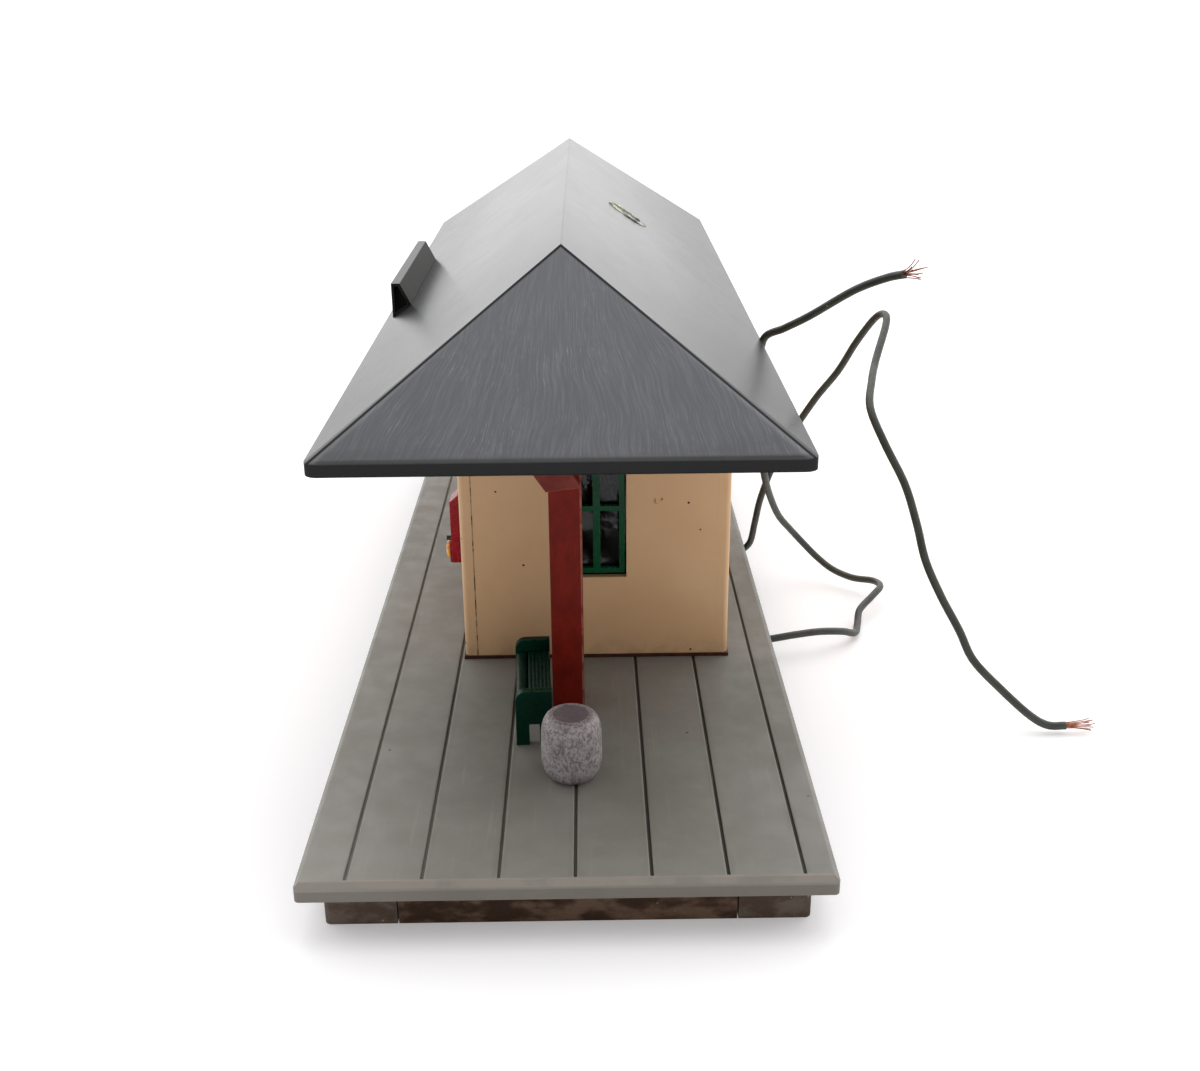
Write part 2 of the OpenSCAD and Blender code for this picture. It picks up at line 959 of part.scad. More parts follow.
// Radius of the barrel at a height, bulging to its middle
function barrel_radius(z) =
    let (u = 2 * z / barrel_h - 1)
    barrel_end_d / 2 + (barrel_d - barrel_end_d) / 2 * (1 - u * u * u * u);

module barrel_body() {
    head_r = barrel_end_d / 2 - 0.5;
    color(barrel_silver)
        translate([barrel_x, barrel_y, deck_top])
            difference() {
                rotate_extrude($fn = smooth)
                    polygon(concat(
                        [[0, 0]],
                        [for (i = [0:barrel_steps])
                            let (z = barrel_h * i / barrel_steps)
                            [barrel_radius(z), z]],
                        [[0, barrel_h]]
                    ));
                translate([0, 0, barrel_h - head_depth])
                    cylinder(r = head_r, h = head_depth + 1, $fn = smooth);
            }
}

module barrel_head() {
    color("#6f6a72")
        translate([barrel_x, barrel_y, deck_top + barrel_h - head_depth])
            cylinder(r = barrel_end_d / 2 - 0.5 - head_gap, h = head_depth - 0.1, $fn = smooth);
}

// ---- Lamp ----

bracket_screw_x = [foot_x0 + 3.5, foot_x0 + 9];

module lamp_bracket() {
    half = strip_w / 2;
    color(steel)
        difference() {
            union() {
                block([foot_x0, -half, deck_top], [upright_x, half, deck_top + strip_t]);
                block([upright_x - strip_t, -half, deck_top], [upright_x, half, shelf_z]);
                block([upright_x - strip_t, -half, shelf_z - strip_t], [lamp_x + 8, half, shelf_z]);
            }
            translate([lamp_x, 0, shelf_z - 2])
                cylinder(r = shell_r + fit, h = 4, $fn = smooth);
            for (x = bracket_screw_x)
                translate([x, 0, deck_top - 1])
                    cylinder(r = screw_r + fit, h = 3, $fn = smooth);
        }
}

module bracket_screws() {
    color(steel)
        for (x = bracket_screw_x)
            translate([x, 0, deck_top + strip_t])
                mirror([0, 0, 1])
                    screw_up(strip_t);
}

// Slice of a disc between two directions
module wedge(from, to, h) {
    reach = 2 * shell_r;
    linear_extrude(h)
        polygon([
            [0, 0], [reach * cos(from), reach * sin(from)], [reach * cos(to), reach * sin(to)]
        ]);
}

// Shell with a collar on the shelf, two bayonet slots and a tab for the lead
module socket_shell() {
    color(brass)
        translate([lamp_x, 0, 0])
            difference() {
                union() {
                    translate([0, 0, shell_z0])
                        cylinder(r = shell_r, h = shell_z1 - shell_z0, $fn = smooth);
                    translate([0, 0, shelf_z])
                        cylinder(r = collar_r, h = strip_t, $fn = smooth);
                    block([shell_bore_r + 0.2, -1.2, shell_z0 + 0.9], [7.8, 1.2, shell_z0 + 1.5]);
                }
                translate([0, 0, shell_z0 - 1])
                    cylinder(r = shell_bore_r, h = shell_z1 - shell_z0 + 2, $fn = smooth);
                for (turn = [90, 270])
                    rotate([0, 0, turn]) {
                        translate([0, 0, pin_z - pin_r - 0.1])
                            wedge(-slot_half, slot_sweep + slot_half, 2 * pin_r + 0.2);
                        translate([0, 0, pin_z])
                            wedge(slot_sweep - slot_half, slot_sweep + slot_half, shell_z1);
                    }
            }
}

module socket_insulator() {
    color(fibre_brown)
        translate([lamp_x, 0, shell_z0])
            difference() {
                cylinder(r = shell_bore_r - fit, h = insulator_t, $fn = smooth);
                translate([0, 0, -1])
                    cylinder(r = plunger_r + fit, h = insulator_t + 2, $fn = smooth);
            }
}

module contact_plunger() {
    color(brass)
        translate([lamp_x, 0, 0]) {
            translate([0, 0, plunger_z0])
                cylinder(r = plunger_r, h = plunger_head_z - plunger_z0, $fn = smooth);
            translate([0, 0, plunger_head_z])
                cylinder(r = plunger_head_r, h = plunger_head_t, $fn = smooth);
        }
}

module contact_spring() {
    low = shell_z0 + insulator_t + spring_wire_r + 0.02;
    high = plunger_head_z - spring_wire_r - 0.02;
    turns = spring_turns * spring_steps;
    color(steel)
        tube([
            for (i = [0:turns])
                let (a = 360 * i / spring_steps)
                [lamp_x + spring_r * cos(a), spring_r * sin(a), low + (high - low) * i / turns]
        ], spring_wire_r, 6);
}

module bulb_cap() {
    color(brass)
        translate([lamp_x, 0, 0]) {
            translate([0, 0, cap_z0])
                cylinder(r = cap_r, h = cap_z1 - cap_z0, $fn = smooth);
            translate([0, 0, cap_z0 - tip_h])
                cylinder(r = tip_r, h = tip_h + eps, $fn = smooth);
            translate([0, -pin_reach, pin_z])
                rotate([-90, 0, 0])
                    cylinder(r = pin_r, h = 2 * pin_reach, $fn = smooth);
        }
}

module bulb_glass() {
    color([0.9, 0.92, 0.95, 0.4])
        translate([lamp_x, 0, 0])
            difference() {
                union() {
                    translate([0, 0, globe_z])
                        sphere(d = globe_d, $fn = smooth);
                    translate([0, 0, cap_z1])
                        cylinder(r = neck_r, h = globe_z - cap_z1, $fn = smooth);
                }
                translate([0, 0, globe_z])
                    sphere(d = globe_d - 2 * glass_t, $fn = smooth);
                translate([0, 0, cap_z1 + glass_t])
                    cylinder(r = neck_r - glass_t, h = globe_z - cap_z1 - glass_t, $fn = smooth);
            }
}

module bulb_filament() {
    stem_z = cap_z1 + glass_t;
    support = 1.6;
    color(steel)
        translate([lamp_x, 0, 0]) {
            translate([0, 0, stem_z])
                cylinder(r = 2, h = 3, $fn = smooth);
            for (x = [-support, support])
                translate([x, 0, stem_z + 2])
                    cylinder(r = 0.25, h = globe_z - stem_z - 2, $fn = 16);
            translate([-support, 0, globe_z - 0.25])
                rotate([0, 90, 0])
                    cylinder(r = 0.3, h = 2 * support, $fn = 16);
        }
}

// ---- Wiring ----

module deck_grommet() {
    flange_r = deck_hole_r + 1;
    low = deck_top - deck_plate - grommet_flange_t;
    high = deck_top + grommet_flange_t;
    color(rubber_black)
        translate([deck_hole_x, 0, 0])
            difference() {
                union() {
                    translate([0, 0, low])
                        cylinder(r = flange_r, h = grommet_flange_t, $fn = smooth);
                    translate([0, 0, low])
                        cylinder(r = deck_hole_r, h = high - low, $fn = smooth);
                    translate([0, 0, deck_top])
                        cylinder(r = flange_r, h = grommet_flange_t, $fn = smooth);
                }
                for (y = [-lead_spacing, lead_spacing])
                    translate([0, y, low - 1])
                        cylinder(r = lead_r + fit, h = high - low + 2, $fn = smooth);
            }
}

module exit_grommets() {
    color(rubber_black)
        for (y = [exit_a_y, exit_b_y])
            translate([skirt_x, y, exit_z])
                rotate([0, 90, 0])
                    difference() {
                        union() {
                            cylinder(r = grommet_flange_r, h = grommet_flange_t, $fn = smooth);
                            translate([0, 0, -skirt_t])
                                cylinder(r = grommet_r, h = skirt_t, $fn = smooth);
                            translate([0, 0, -skirt_t - grommet_flange_t])
                                cylinder(r = grommet_flange_r, h = grommet_flange_t, $fn = smooth);
                        }
                        cylinder(r = lead_r + fit, h = 4 * skirt_t, center = true, $fn = smooth);
                    }
}

module inner_lead_a() {
    color(lead_olive)
        tube(inner_route_a, lead_r, side = [0, 1, 0]);
}

module inner_lead_b() {
    color(lead_olive)
        tube(inner_route_b, lead_r, side = [0, 1, 0]);
}

module lead_a() {
    color(lead_olive)
        tube(route_a, lead_r);
}

module lead_b() {
    color(lead_olive)
        tube(route_b, lead_r);
}

// Frayed strands that leave the end of a lead: one core and a spray of thin wires
module strands(route, length, spread) {
    end = route[len(route) - 1];
    ahead = heading(route, len(route) - 1);
    u = unit(cross(ahead, [0, 0, 1]));
    v = cross(u, ahead);
    color(copper) {
        rod(end, end + length * 0.3 * ahead, 0.5);
        for (k = [0:6]) {
            out = cos(k * 360 / 7) * u + sin(k * 360 / 7) * v;
            reach = length * (0.7 + 0.3 * cos(k * 100));
            rod(end + 0.3 * out, end + reach * unit(ahead + spread * out), strand_r);
        }
    }
}

module lead_a_strands() { strands(route_a, 5, 0.45); }

module lead_b_strands() { strands(route_b, 7.5, 0.12); }

deck();
skirt_near();
skirt_far();
skirt_track();
skirt_rear();
corner_blocks();
corner_screws();
house_sole();
wall_near();
wall_far();
wall_track();
wall_rear();
window_near();
window_far();
windows_track();
windows_rear();
door_frame();
door_panel();
door_knob();
film_near();
film_far();
film_track();
film_rear();
box_back();
box_case();
box_flap();
box_knob();
roof_shell();
name_board();
chimney_glue();
post_near();
post_far();
beam_near();
beam_far();
bracket_near();
bracket_far();
bench_end_near();
bench_end_far();
bench_slats();
bench_rail();
barrel_body();
barrel_head();
lamp_bracket();
bracket_screws();
socket_shell();
socket_insulator();
contact_plunger();
contact_spring();
bulb_cap();
bulb_glass();
bulb_filament();
deck_grommet();
exit_grommets();
inner_lead_a();
inner_lead_b();
lead_a();
lead_b();
lead_a_strands();
lead_b_strands();
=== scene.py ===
import math
import bpy
import numpy as np
from mathutils import Matrix, Vector


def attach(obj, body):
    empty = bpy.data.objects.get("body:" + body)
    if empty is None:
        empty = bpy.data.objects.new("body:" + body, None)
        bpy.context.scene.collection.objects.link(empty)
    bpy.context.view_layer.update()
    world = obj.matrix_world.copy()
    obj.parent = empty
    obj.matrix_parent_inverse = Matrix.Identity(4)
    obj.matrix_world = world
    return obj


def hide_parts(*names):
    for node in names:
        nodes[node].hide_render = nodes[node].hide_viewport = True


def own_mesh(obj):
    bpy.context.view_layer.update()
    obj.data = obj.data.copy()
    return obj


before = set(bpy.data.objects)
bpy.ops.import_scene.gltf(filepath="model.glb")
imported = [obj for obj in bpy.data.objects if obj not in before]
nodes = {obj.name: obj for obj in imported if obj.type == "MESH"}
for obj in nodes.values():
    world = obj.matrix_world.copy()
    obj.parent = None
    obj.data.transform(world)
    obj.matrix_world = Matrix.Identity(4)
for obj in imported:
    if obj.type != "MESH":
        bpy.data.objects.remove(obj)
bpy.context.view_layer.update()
mm = 0.001
stage = bpy.context.scene
print("frame loaded,", len(nodes), "nodes")

# Camera: turns are in radians, and the lens is for a 36 mm wide sensor
cameraFacts = {
    "place": (0.00582, -0.44102, 0.19580), "turn": 0.00856, "dip": 0.38415, "roll": -0.00937, "lens": 40.709}


def makeCamera(facts):
    turn, dip, roll = facts["turn"], facts["dip"], facts["roll"]
    ahead = Vector((math.sin(turn) * math.cos(dip), math.cos(turn) * math.cos(dip), -math.sin(dip)))
    level = Vector((math.cos(turn), -math.sin(turn), 0))
    above = level.cross(ahead)
    right = level * math.cos(roll) + above * math.sin(roll)
    up = above * math.cos(roll) - level * math.sin(roll)
    data = bpy.data.cameras.new("photoCamera")
    data.lens = facts["lens"]
    data.sensor_width = 36
    data.clip_start = 0.01
    camera = bpy.data.objects.new("photoCamera", data)
    camera.matrix_world = Matrix((
        (right.x, up.x, -ahead.x, facts["place"][0]),
        (right.y, up.y, -ahead.y, facts["place"][1]),
        (right.z, up.z, -ahead.z, facts["place"][2]),
        (0, 0, 0, 1),
    ))
    stage.collection.objects.link(camera)
    stage.camera = camera
    stage.render.resolution_x = 1200
    stage.render.resolution_y = 1071


makeCamera(cameraFacts)


# ---- Surfaces from whole arrays of points ----

def gridFaces(rows, columns, start):
    # Four-sided faces of a grid whose columns close on themselves
    i, j = np.meshgrid(np.arange(rows - 1), np.arange(columns), indexing="ij")
    k = (j + 1) % columns
    quads = np.stack([i * columns + j, i * columns + k, (i + 1) * columns + k, (i + 1) * columns + j], -1)
    return start + quads.reshape(-1, 4)


def facesOutward(points, quads):
    # Six times the enclosed volume is the sum of a . (b x c) over both halves of each face
    a, b, c, d = (points[quads[:, k]] for k in range(4))
    volume = np.sum(a * np.cross(b, c)) + np.sum(a * np.cross(c, d))
    return volume > 0


def addMesh(name, points, faces, body, instead, flat=False):
    mesh = bpy.data.meshes.new(name)
    mesh.from_pydata(points.tolist(), [], faces)
    mesh.polygons.foreach_set("use_smooth", np.full(len(faces), not flat))
    mesh.update()
    piece = bpy.data.objects.new(name, mesh)
    stage.collection.objects.link(piece)
    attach(piece, body)
    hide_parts(*instead)
    return piece


def makePiece(name, grids, body, instead, flat=False):
    # Each grid is rows of closed rings, and its first and last ring are capped
    points, faces, start = [], [], 0
    for grid in grids:
        rows, columns = grid.shape[:2]
        flatGrid = grid.reshape(-1, 3)
        centred = flatGrid - flatGrid.mean(0)
        quads = gridFaces(rows, columns, 0)
        first = list(range(columns))[::-1]
        last = list(range((rows - 1) * columns, rows * columns))
        if not facesOutward(centred, quads):
            quads, first, last = quads[:, ::-1], first[::-1], last[::-1]
        points.append(flatGrid)
        faces += (quads + start).tolist()
        faces += [[start + k for k in first], [start + k for k in last]]
        start += rows * columns
    return addMesh(name, np.vstack(points), faces, body, instead, flat)


def smoothPath(points, steps):
    # Catmull-Rom curve: a cubic between each two points with the slope of their neighbours
    p = np.vstack([2 * points[0] - points[1], points, 2 * points[-1] - points[-2]])
    t = np.linspace(0, 1, steps, endpoint=False)[None, :, None]
    a, b, c, d = (p[i:len(p) - 3 + i][:, None, :] for i in range(4))
    curve = 0.5 * (2 * b + (c - a) * t + (2 * a - 5 * b + 4 * c - d) * t**2 + (3 * b - a - 3 * c + d) * t**3)
    return np.vstack([curve.reshape(-1, 3), points[-1]])


def unit(v):
    return v / np.linalg.norm(v, axis=-1, keepdims=True)


def sweep(path, outline, size=None, side=(0, 0, 1)):
    # An outline of (u, v) points carried along a path without twisting, scaled by size at each ring
    heading = unit(np.gradient(path, axis=0))
    carried = [unit(np.array(side, float) - np.dot(side, heading[0]) * heading[0])]
    for t in heading[1:]:
        carried.append(unit(carried[-1] - np.dot(carried[-1], t) * t))
    u = np.array(carried)
    v = np.cross(heading, u)
    size = np.ones(len(path)) if size is None else np.asarray(size, float)
    ring = u[:, None] * outline[None, :, :1] + v[:, None] * outline[None, :, 1:]
    return path[:, None] + ring * size[:, None, None]


def circle(radius, sides):
    a = np.arange(sides) * 2 * np.pi / sides
    return radius * np.stack([np.cos(a), np.sin(a)], -1)


def revolve(profile, centre, sides):
    # Profile of (radius, height) turned about an upright axis
    a = np.arange(sides) * 2 * np.pi / sides
    r, z = profile[:, :1], profile[:, 1:]
    grid = np.stack([r * np.cos(a), r * np.sin(a), z + 0 * a], -1)
    return grid + np.array(centre)


# ---- Leads ----

leadFacts = {"radius": 1.15 * mm, "sides": 18, "steps": 7, "lengthA": 0.262, "lengthB": 0.274}
routeA = mm * np.array([
    (55.8, -60, 6), (61, -60, 6), (70, -59, 7), (78, -57, 7), (86, -53, 5),
    (91, -48, 2), (93, -42, 2), (95, -35, 4), (100, -29, 6), (104, -23, 7),
    (103, -16, 6), (97, -11, 5), (91, -6, 6), (86, -2, 9), (81, -1, 14),
    (76, -3, 20), (71, -8, 27), (67, -15, 36), (63, -26, 48), (60, -36, 62),
    (58, -42, 76), (57.6, -46, 89), (57.9, -50, 99.5), (63.2, -55, 103.8), (69.5, -60, 108.5),
    (79.8, -69, 117.5), (87.1, -75, 122), (91.2, -79, 123.8)])
routeB = mm * np.array([
    (55.8, 12, 6), (60, 12, 6), (63.5, 10, 10), (64.5, 6, 19), (65.5, 1, 30),
    (68, -4, 42), (71, -8, 52), (76, -11, 62), (81, -13, 71), (87, -15, 80),
    (91.6, -18, 90), (95.8, -23, 98.7), (97.7, -28, 101.4), (97.2, -34, 99.7), (92, -47, 92),
    (89, -57, 88), (87, -67, 83), (90, -75, 75), (95, -82, 65), (98, -87, 55),
    (100, -92, 46), (104, -96, 37), (109, -100, 28), (113, -103, 20), (121, -106, 12),
    (129, -108, 5), (134, -109, 2.4), (139, -109, 2.2)])


def makeStrands(name, path, facts, instead):
    # Each strand runs ahead and drifts outward as its share of the way squared, with a slow wave
    end, ahead = path[-1], unit(path[-1] - path[-3])
    u = unit(np.cross(ahead, (0, 0, 1)))
    v = np.cross(u, ahead)
    t = np.linspace(0, 1, 16)[:, None]
    draw = np.random.default_rng(facts["seed"])
    grids = []
    for k in range(facts["count"]):
        a = 2 * np.pi * k / facts["count"] + draw.uniform(-0.3, 0.3)
        out = np.cos(a) * u + np.sin(a) * v
        reach = facts["length"] * draw.uniform(0.6, 1)
        drift = facts["spread"] * draw.uniform(0.2, 1.1)
        wave = np.sin(t * draw.uniform(2, 6) + a) * 0.25 * mm * t
        way = end - 1.2 * mm * ahead + (0.25 + 0.35 * (k % 3)) * mm * out
        line = way + ahead * (reach + 1.2 * mm) * t + out * drift * t**2 + np.cross(out, ahead) * wave
        line[:, 2] = np.maximum(line[:, 2], 0.3 * mm)
        grids.append(sweep(line, circle(facts["wire"], 6), side=tuple(v)))
    return makePiece(name, grids, "station", instead)


strandFactsA = {"count": 11, "length": 5.5 * mm, "spread": 2.6 * mm, "wire": 0.14 * mm, "seed": 4}
strandFactsB = {"count": 11, "length": 8 * mm, "spread": 1.3 * mm, "wire": 0.14 * mm, "seed": 9}
pathA = smoothPath(routeA, leadFacts["steps"])
pathB = smoothPath(routeB, leadFacts["steps"])
pathB[:, 2] = np.maximum(pathB[:, 2], leadFacts["radius"])
pathA[:, 2] = np.maximum(pathA[:, 2], leadFacts["radius"])
leadOutline = circle(leadFacts["radius"], leadFacts["sides"])
leadA = makePiece("leadA", [sweep(pathA, leadOutline)], "station", ["lead_a"])
leadB = makePiece("leadB", [sweep(pathB, leadOutline)], "station", ["lead_b"])
strandsA = makeStrands("strandsA", pathA, strandFactsA, ["lead_a_strands"])
strandsB = makeStrands("strandsB", pathB, strandFactsB, ["lead_b_strands"])
print("camera and leads made")


# ---- Shader node helpers ----

def put(tree, kind, props=None, **inputs):
    # One shader node: an input is named with _ for each space, or i and its number
    node = tree.nodes.new("ShaderNode" + kind)
    for key, value in (props or {}).items():
        setattr(node, key, value)
    for key, value in inputs.items():
        numbered = key[0] == "i" and key[1:].isdigit()
        socket = node.inputs[int(key[1:]) if numbered else key.replace("_", " ")]
        if isinstance(value, bpy.types.NodeSocket):
            tree.links.new(value, socket)
        elif isinstance(value, tuple) and len(value) == 3 and socket.type == "RGBA":
            socket.default_value = (*value, 1)
        else:
            socket.default_value = value
    return node


def calc(tree, operation, a, b=0.0, c=0.0, clamp=False):
    return put(tree, "Math", {"operation": operation, "use_clamp": clamp}, i0=a, i1=b, i2=c).outputs[0]


def times(tree, *values):
    # Product of two or more values
    product = values[0]
    for value in values[1:]:
        product = calc(tree, "MULTIPLY", product, value)
    return product


def split(tree, vector):
    return put(tree, "SeparateXYZ", Vector=vector).outputs


def ramp(tree, value, low, high, toLow=0.0, toHigh=1.0):
    # Smooth step of a value from low to high
    node = put(tree, "MapRange", {"interpolation_type": "SMOOTHSTEP"}, Value=value,
               From_Min=low, From_Max=high, To_Min=toLow, To_Max=toHigh)
    return node.outputs[0]


def band(tree, value, low, high, soft):
    # One between low and high, and zero outside, with soft sides
    rise = ramp(tree, value, low - soft, low)
    fall = ramp(tree, value, high, high + soft, 1.0, 0.0)
    return times(tree, rise, fall)


def mix(tree, mask, first, second):
    return put(tree, "Mix", {"data_type": "RGBA"}, i0=mask, i6=first, i7=second).outputs[2]


def newMaterial(name):
    # A material without nodes, its tree, and the place on the object
    material = bpy.data.materials.new(name)
    material.use_nodes = True
    tree = material.node_tree
    tree.nodes.clear()
    return material, tree, put(tree, "TexCoord").outputs["Object"]


def newGroup(name, sockets, results):
    group = bpy.data.node_groups.new(name, "ShaderNodeTree")
    for label, kind, default in sockets:
        socket = group.interface.new_socket(label, in_out="INPUT", socket_type=kind)
        if default is not None:
            socket.default_value = default
    for label, kind in results:
        group.interface.new_socket(label, in_out="OUTPUT", socket_type=kind)
    start = group.nodes.new("NodeGroupInput")
    end = group.nodes.new("NodeGroupOutput")
    return group, start.outputs, end.inputs


def use(tree, group, **inputs):
    node = tree.nodes.new("ShaderNodeGroup")
    node.node_tree = group
    for key, value in inputs.items():
        socket = node.inputs[key.replace("_", " ")]
        if isinstance(value, bpy.types.NodeSocket):
            tree.links.new(value, socket)
        else:
            socket.default_value = value
    return node.outputs


number, vector = "NodeSocketFloat", "NodeSocketVector"

# Soft blotches: noise between two levels, with the place stretched first
patchGroup, source, result = newGroup(
    "softPatches",
    [("Vector", vector, None), ("Stretch", vector, (1, 1, 1)), ("Scale", number, 100.0), ("Low", number, 0.4),
     ("High", number, 0.6)], [("Mask", number)])
stretched = put(patchGroup, "VectorMath", {"operation": "MULTIPLY"}, i0=source["Vector"],
                i1=source["Stretch"]).outputs[0]
cloud = put(patchGroup, "TexNoise", Vector=stretched, Scale=source["Scale"], Detail=5.0, Roughness=0.6)
patchGroup.links.new(ramp(patchGroup, cloud.outputs[0], source["Low"], source["High"]), result["Mask"])

# Scattered specks: dots about random cell centres, kept for a share of the cells
speckGroup, source, result = newGroup(
    "specks",
    [("Vector", vector, None), ("Scale", number, 400.0), ("Size", number, 0.2), ("Share", number, 0.1)],
    [("Mask", number)])
cells = put(speckGroup, "TexVoronoi", Vector=source["Vector"], Scale=source["Scale"])
wobble = put(speckGroup, "TexNoise", Vector=source["Vector"],
             Scale=times(speckGroup, source["Scale"], 2.3)).outputs[0]
reach = times(speckGroup, source["Size"], times(speckGroup, wobble, 2.0))
dot = calc(speckGroup, "LESS_THAN", cells.outputs["Distance"], reach)
chosen = calc(speckGroup, "LESS_THAN", put(speckGroup, "SeparateColor",
                                           Color=cells.outputs["Color"]).outputs[0], source["Share"])
speckGroup.links.new(times(speckGroup, dot, chosen), result["Mask"])

# Rounded edge: the normal turned near an edge, and a mask of where it turns
edgeGroup, source, result = newGroup("roundEdge", [("Radius", number, 0.0003)],
                                     [("Normal", vector), ("Mask", number)])
bevel = put(edgeGroup, "Bevel", {"samples": 4}, Radius=source["Radius"])
surface = put(edgeGroup, "NewGeometry")
along = put(edgeGroup, "VectorMath", {"operation": "DOT_PRODUCT"}, i0=bevel.outputs[0],
            i1=surface.outputs["Normal"]).outputs["Value"]
edgeGroup.links.new(bevel.outputs[0], result["Normal"])
edgeGroup.links.new(ramp(edgeGroup, along, 0.995, 0.86), result["Mask"])

# Settled dust: noise on what faces up
dustGroup, source, result = newGroup("dustOnTop", [("Vector", vector, None), ("Scale", number, 90.0)],
                                     [("Mask", number)])
upward = split(dustGroup, put(dustGroup, "NewGeometry").outputs["Normal"])[2]
cloud = put(dustGroup, "TexNoise", Vector=source["Vector"], Scale=source["Scale"], Detail=8.0,
            Roughness=0.7)
dustGroup.links.new(times(dustGroup, ramp(dustGroup, upward, 0.2, 0.9),
                          ramp(dustGroup, cloud.outputs[0], 0.42, 0.68)), result["Mask"])

# Fine relief: noise turned into a bumped normal
grainGroup, source, result = newGroup(
    "fineGrain",
    [("Vector", vector, None), ("Stretch", vector, (1, 1, 1)), ("Scale", number, 1500.0), ("Height", number, 0.00003),
     ("Normal", vector, None)], [("Normal", vector)])
stretched = put(grainGroup, "VectorMath", {"operation": "MULTIPLY"}, i0=source["Vector"],
                i1=source["Stretch"]).outputs[0]
cloud = put(grainGroup, "TexNoise", Vector=stretched, Scale=source["Scale"], Detail=3.0)
bump = put(grainGroup, "Bump", Height=cloud.outputs[0], Distance=source["Height"], Normal=source["Normal"])
grainGroup.links.new(bump.outputs[0], result["Normal"])

plain = {
    "patchScale": 70.0, "patchStretch": (1, 1, 1), "patchLow": 0.35, "patchHigh": 0.65, "rough": (0.4, 0.6),
    "edge": 0.3 * mm, "edgeWearAndHighlight": 0.5, "edgeColour": None, "grainScale": 1500.0, "grainStretch": (1, 1, 1),
    "grainHeight": 0.02 * mm, "speckColour": (0.02, 0.018, 0.015), "speckScale": 300.0, "speckSize": 0.12,
    "speckShare": 0.05, "dust": 0.15, "dustColour": (0.42, 0.39, 0.34), "metal": 0.0, "coat": 0.0,
    "coatRough": 0.2, "specular": 0.5,}


def paint(name, own):
    values = {**plain, **own}
    material, tree, place = newMaterial(name)
    edge = use(tree, edgeGroup, Radius=values["edge"])
    patch = use(tree, patchGroup, Vector=place, Stretch=values["patchStretch"], Scale=values["patchScale"],
                Low=values["patchLow"], High=values["patchHigh"])["Mask"]
    fine = use(tree, patchGroup, Vector=place, Scale=values["patchScale"] * 6, Low=0.3, High=0.7)["Mask"]
    colour = mix(tree, patch, values["colour"], values["patchColour"])
    # Lighter edges: worn paint, and on the deck, bench, brackets and name board a painted highlight
    if values["edgeColour"]:
        worn = times(tree, edge["Mask"], ramp(tree, fine, 0.1, 0.8, values["edgeWearAndHighlight"] * 0.4, values["edgeWearAndHighlight"]))
        colour = mix(tree, worn, colour, values["edgeColour"])
    dust = times(tree, use(tree, dustGroup, Vector=place)["Mask"], values["dust"])
    colour = mix(tree, dust, colour, values["dustColour"])
    speck = use(tree, speckGroup, Vector=place, Scale=values["speckScale"], Size=values["speckSize"],
                Share=values["speckShare"])["Mask"]
    colour = mix(tree, speck, colour, values["speckColour"])
    rough = calc(tree, "ADD", ramp(tree, fine, 0, 1, values["rough"][0], values["rough"][1]),
                 times(tree, dust, 0.3), clamp=True)
    normal = use(tree, grainGroup, Vector=place, Stretch=values["grainStretch"], Scale=values["grainScale"],
                 Height=values["grainHeight"], Normal=edge["Normal"])["Normal"]
    shader = put(tree, "BsdfPrincipled", Base_Color=colour, Roughness=rough, Normal=normal,
                 Metallic=values["metal"], Coat_Weight=values["coat"], Coat_Roughness=values["coatRough"],
                 Specular_IOR_Level=values["specular"])
    output = put(tree, "OutputMaterial", Surface=shader.outputs[0])
    axes = split(tree, place)
    return {"material": material, "tree": tree, "shader": shader, "output": output, "place": place, "axes": axes,
            "colour": colour, "rough": rough, "edge": edge}


def patches(look, scale, low, high, stretch=(1, 1, 1)):
    # Mask of soft blotches at a look's own place
    return use(look["tree"], patchGroup, Vector=look["place"], Stretch=stretch, Scale=scale, Low=low,
               High=high)["Mask"]


def overlay(look, mask, colour, rough=None):
    # Lays another colour, and optionally another roughness, over a look where the mask is one
    tree = look["tree"]
    look["colour"] = mix(tree, mask, look["colour"], colour)
    tree.links.new(look["colour"], look["shader"].inputs["Base Color"])
    if rough is not None:
        keep = times(tree, look["rough"], calc(tree, "SUBTRACT", 1.0, mask))
        look["rough"] = calc(tree, "ADD", keep, times(tree, mask, rough))
        tree.links.new(look["rough"], look["shader"].inputs["Roughness"])


def dress(look, *names):
    for name in names:
        thing = nodes[name] if name in nodes else bpy.data.objects[name]
        thing.data.materials.clear()
        thing.data.materials.append(look["material"])


print("node groups made")

# ---- Platform ----

deckFacts = {
    "firstGroove": -48.7 * mm, "pitch": 16.85 * mm, "halfGroove": 0.7 * mm, "field": (57.5 * mm, 192.6 * mm),
    "grooveDepth": (14.5 * mm, 14.9 * mm), "lip": (13.9 * mm, 15.1 * mm), "lipStart": (193.1 * mm, 193.6 * mm),
    "sideTop": (13.4 * mm, 13.0 * mm), "grooveDark": (0.075, 0.066, 0.054), "paleGroove": (0.13, 0.12, 0.1),
    "grooveDarkest": (0.022, 0.017, 0.012), "smudge": (0.13, 0.12, 0.1), "streak": (0.29, 0.275, 0.24),
    "lighterLeft": (0.31, 0.295, 0.265), "sideDirt": (0.12, 0.098, 0.074), "lipHighlight": (0.3, 0.26, 0.22)}
# Painted highlight: the deck's lighter edge colour along its bevelled edges
deckPaint = paint("deckPaint", {
    "colour": (0.215, 0.208, 0.185), "patchColour": (0.18, 0.172, 0.15), "patchScale": 22.0, "rough": (0.5, 0.68),
    "edge": 0.7 * mm, "edgeWearAndHighlight": 0.75, "edgeColour": (0.36, 0.34, 0.3), "grainScale": 2600.0,
    "grainHeight": 0.012 * mm, "speckScale": 260.0, "speckSize": 0.09, "speckShare": 0.04, "dust": 0.12,
    "dustColour": (0.3, 0.285, 0.25)})


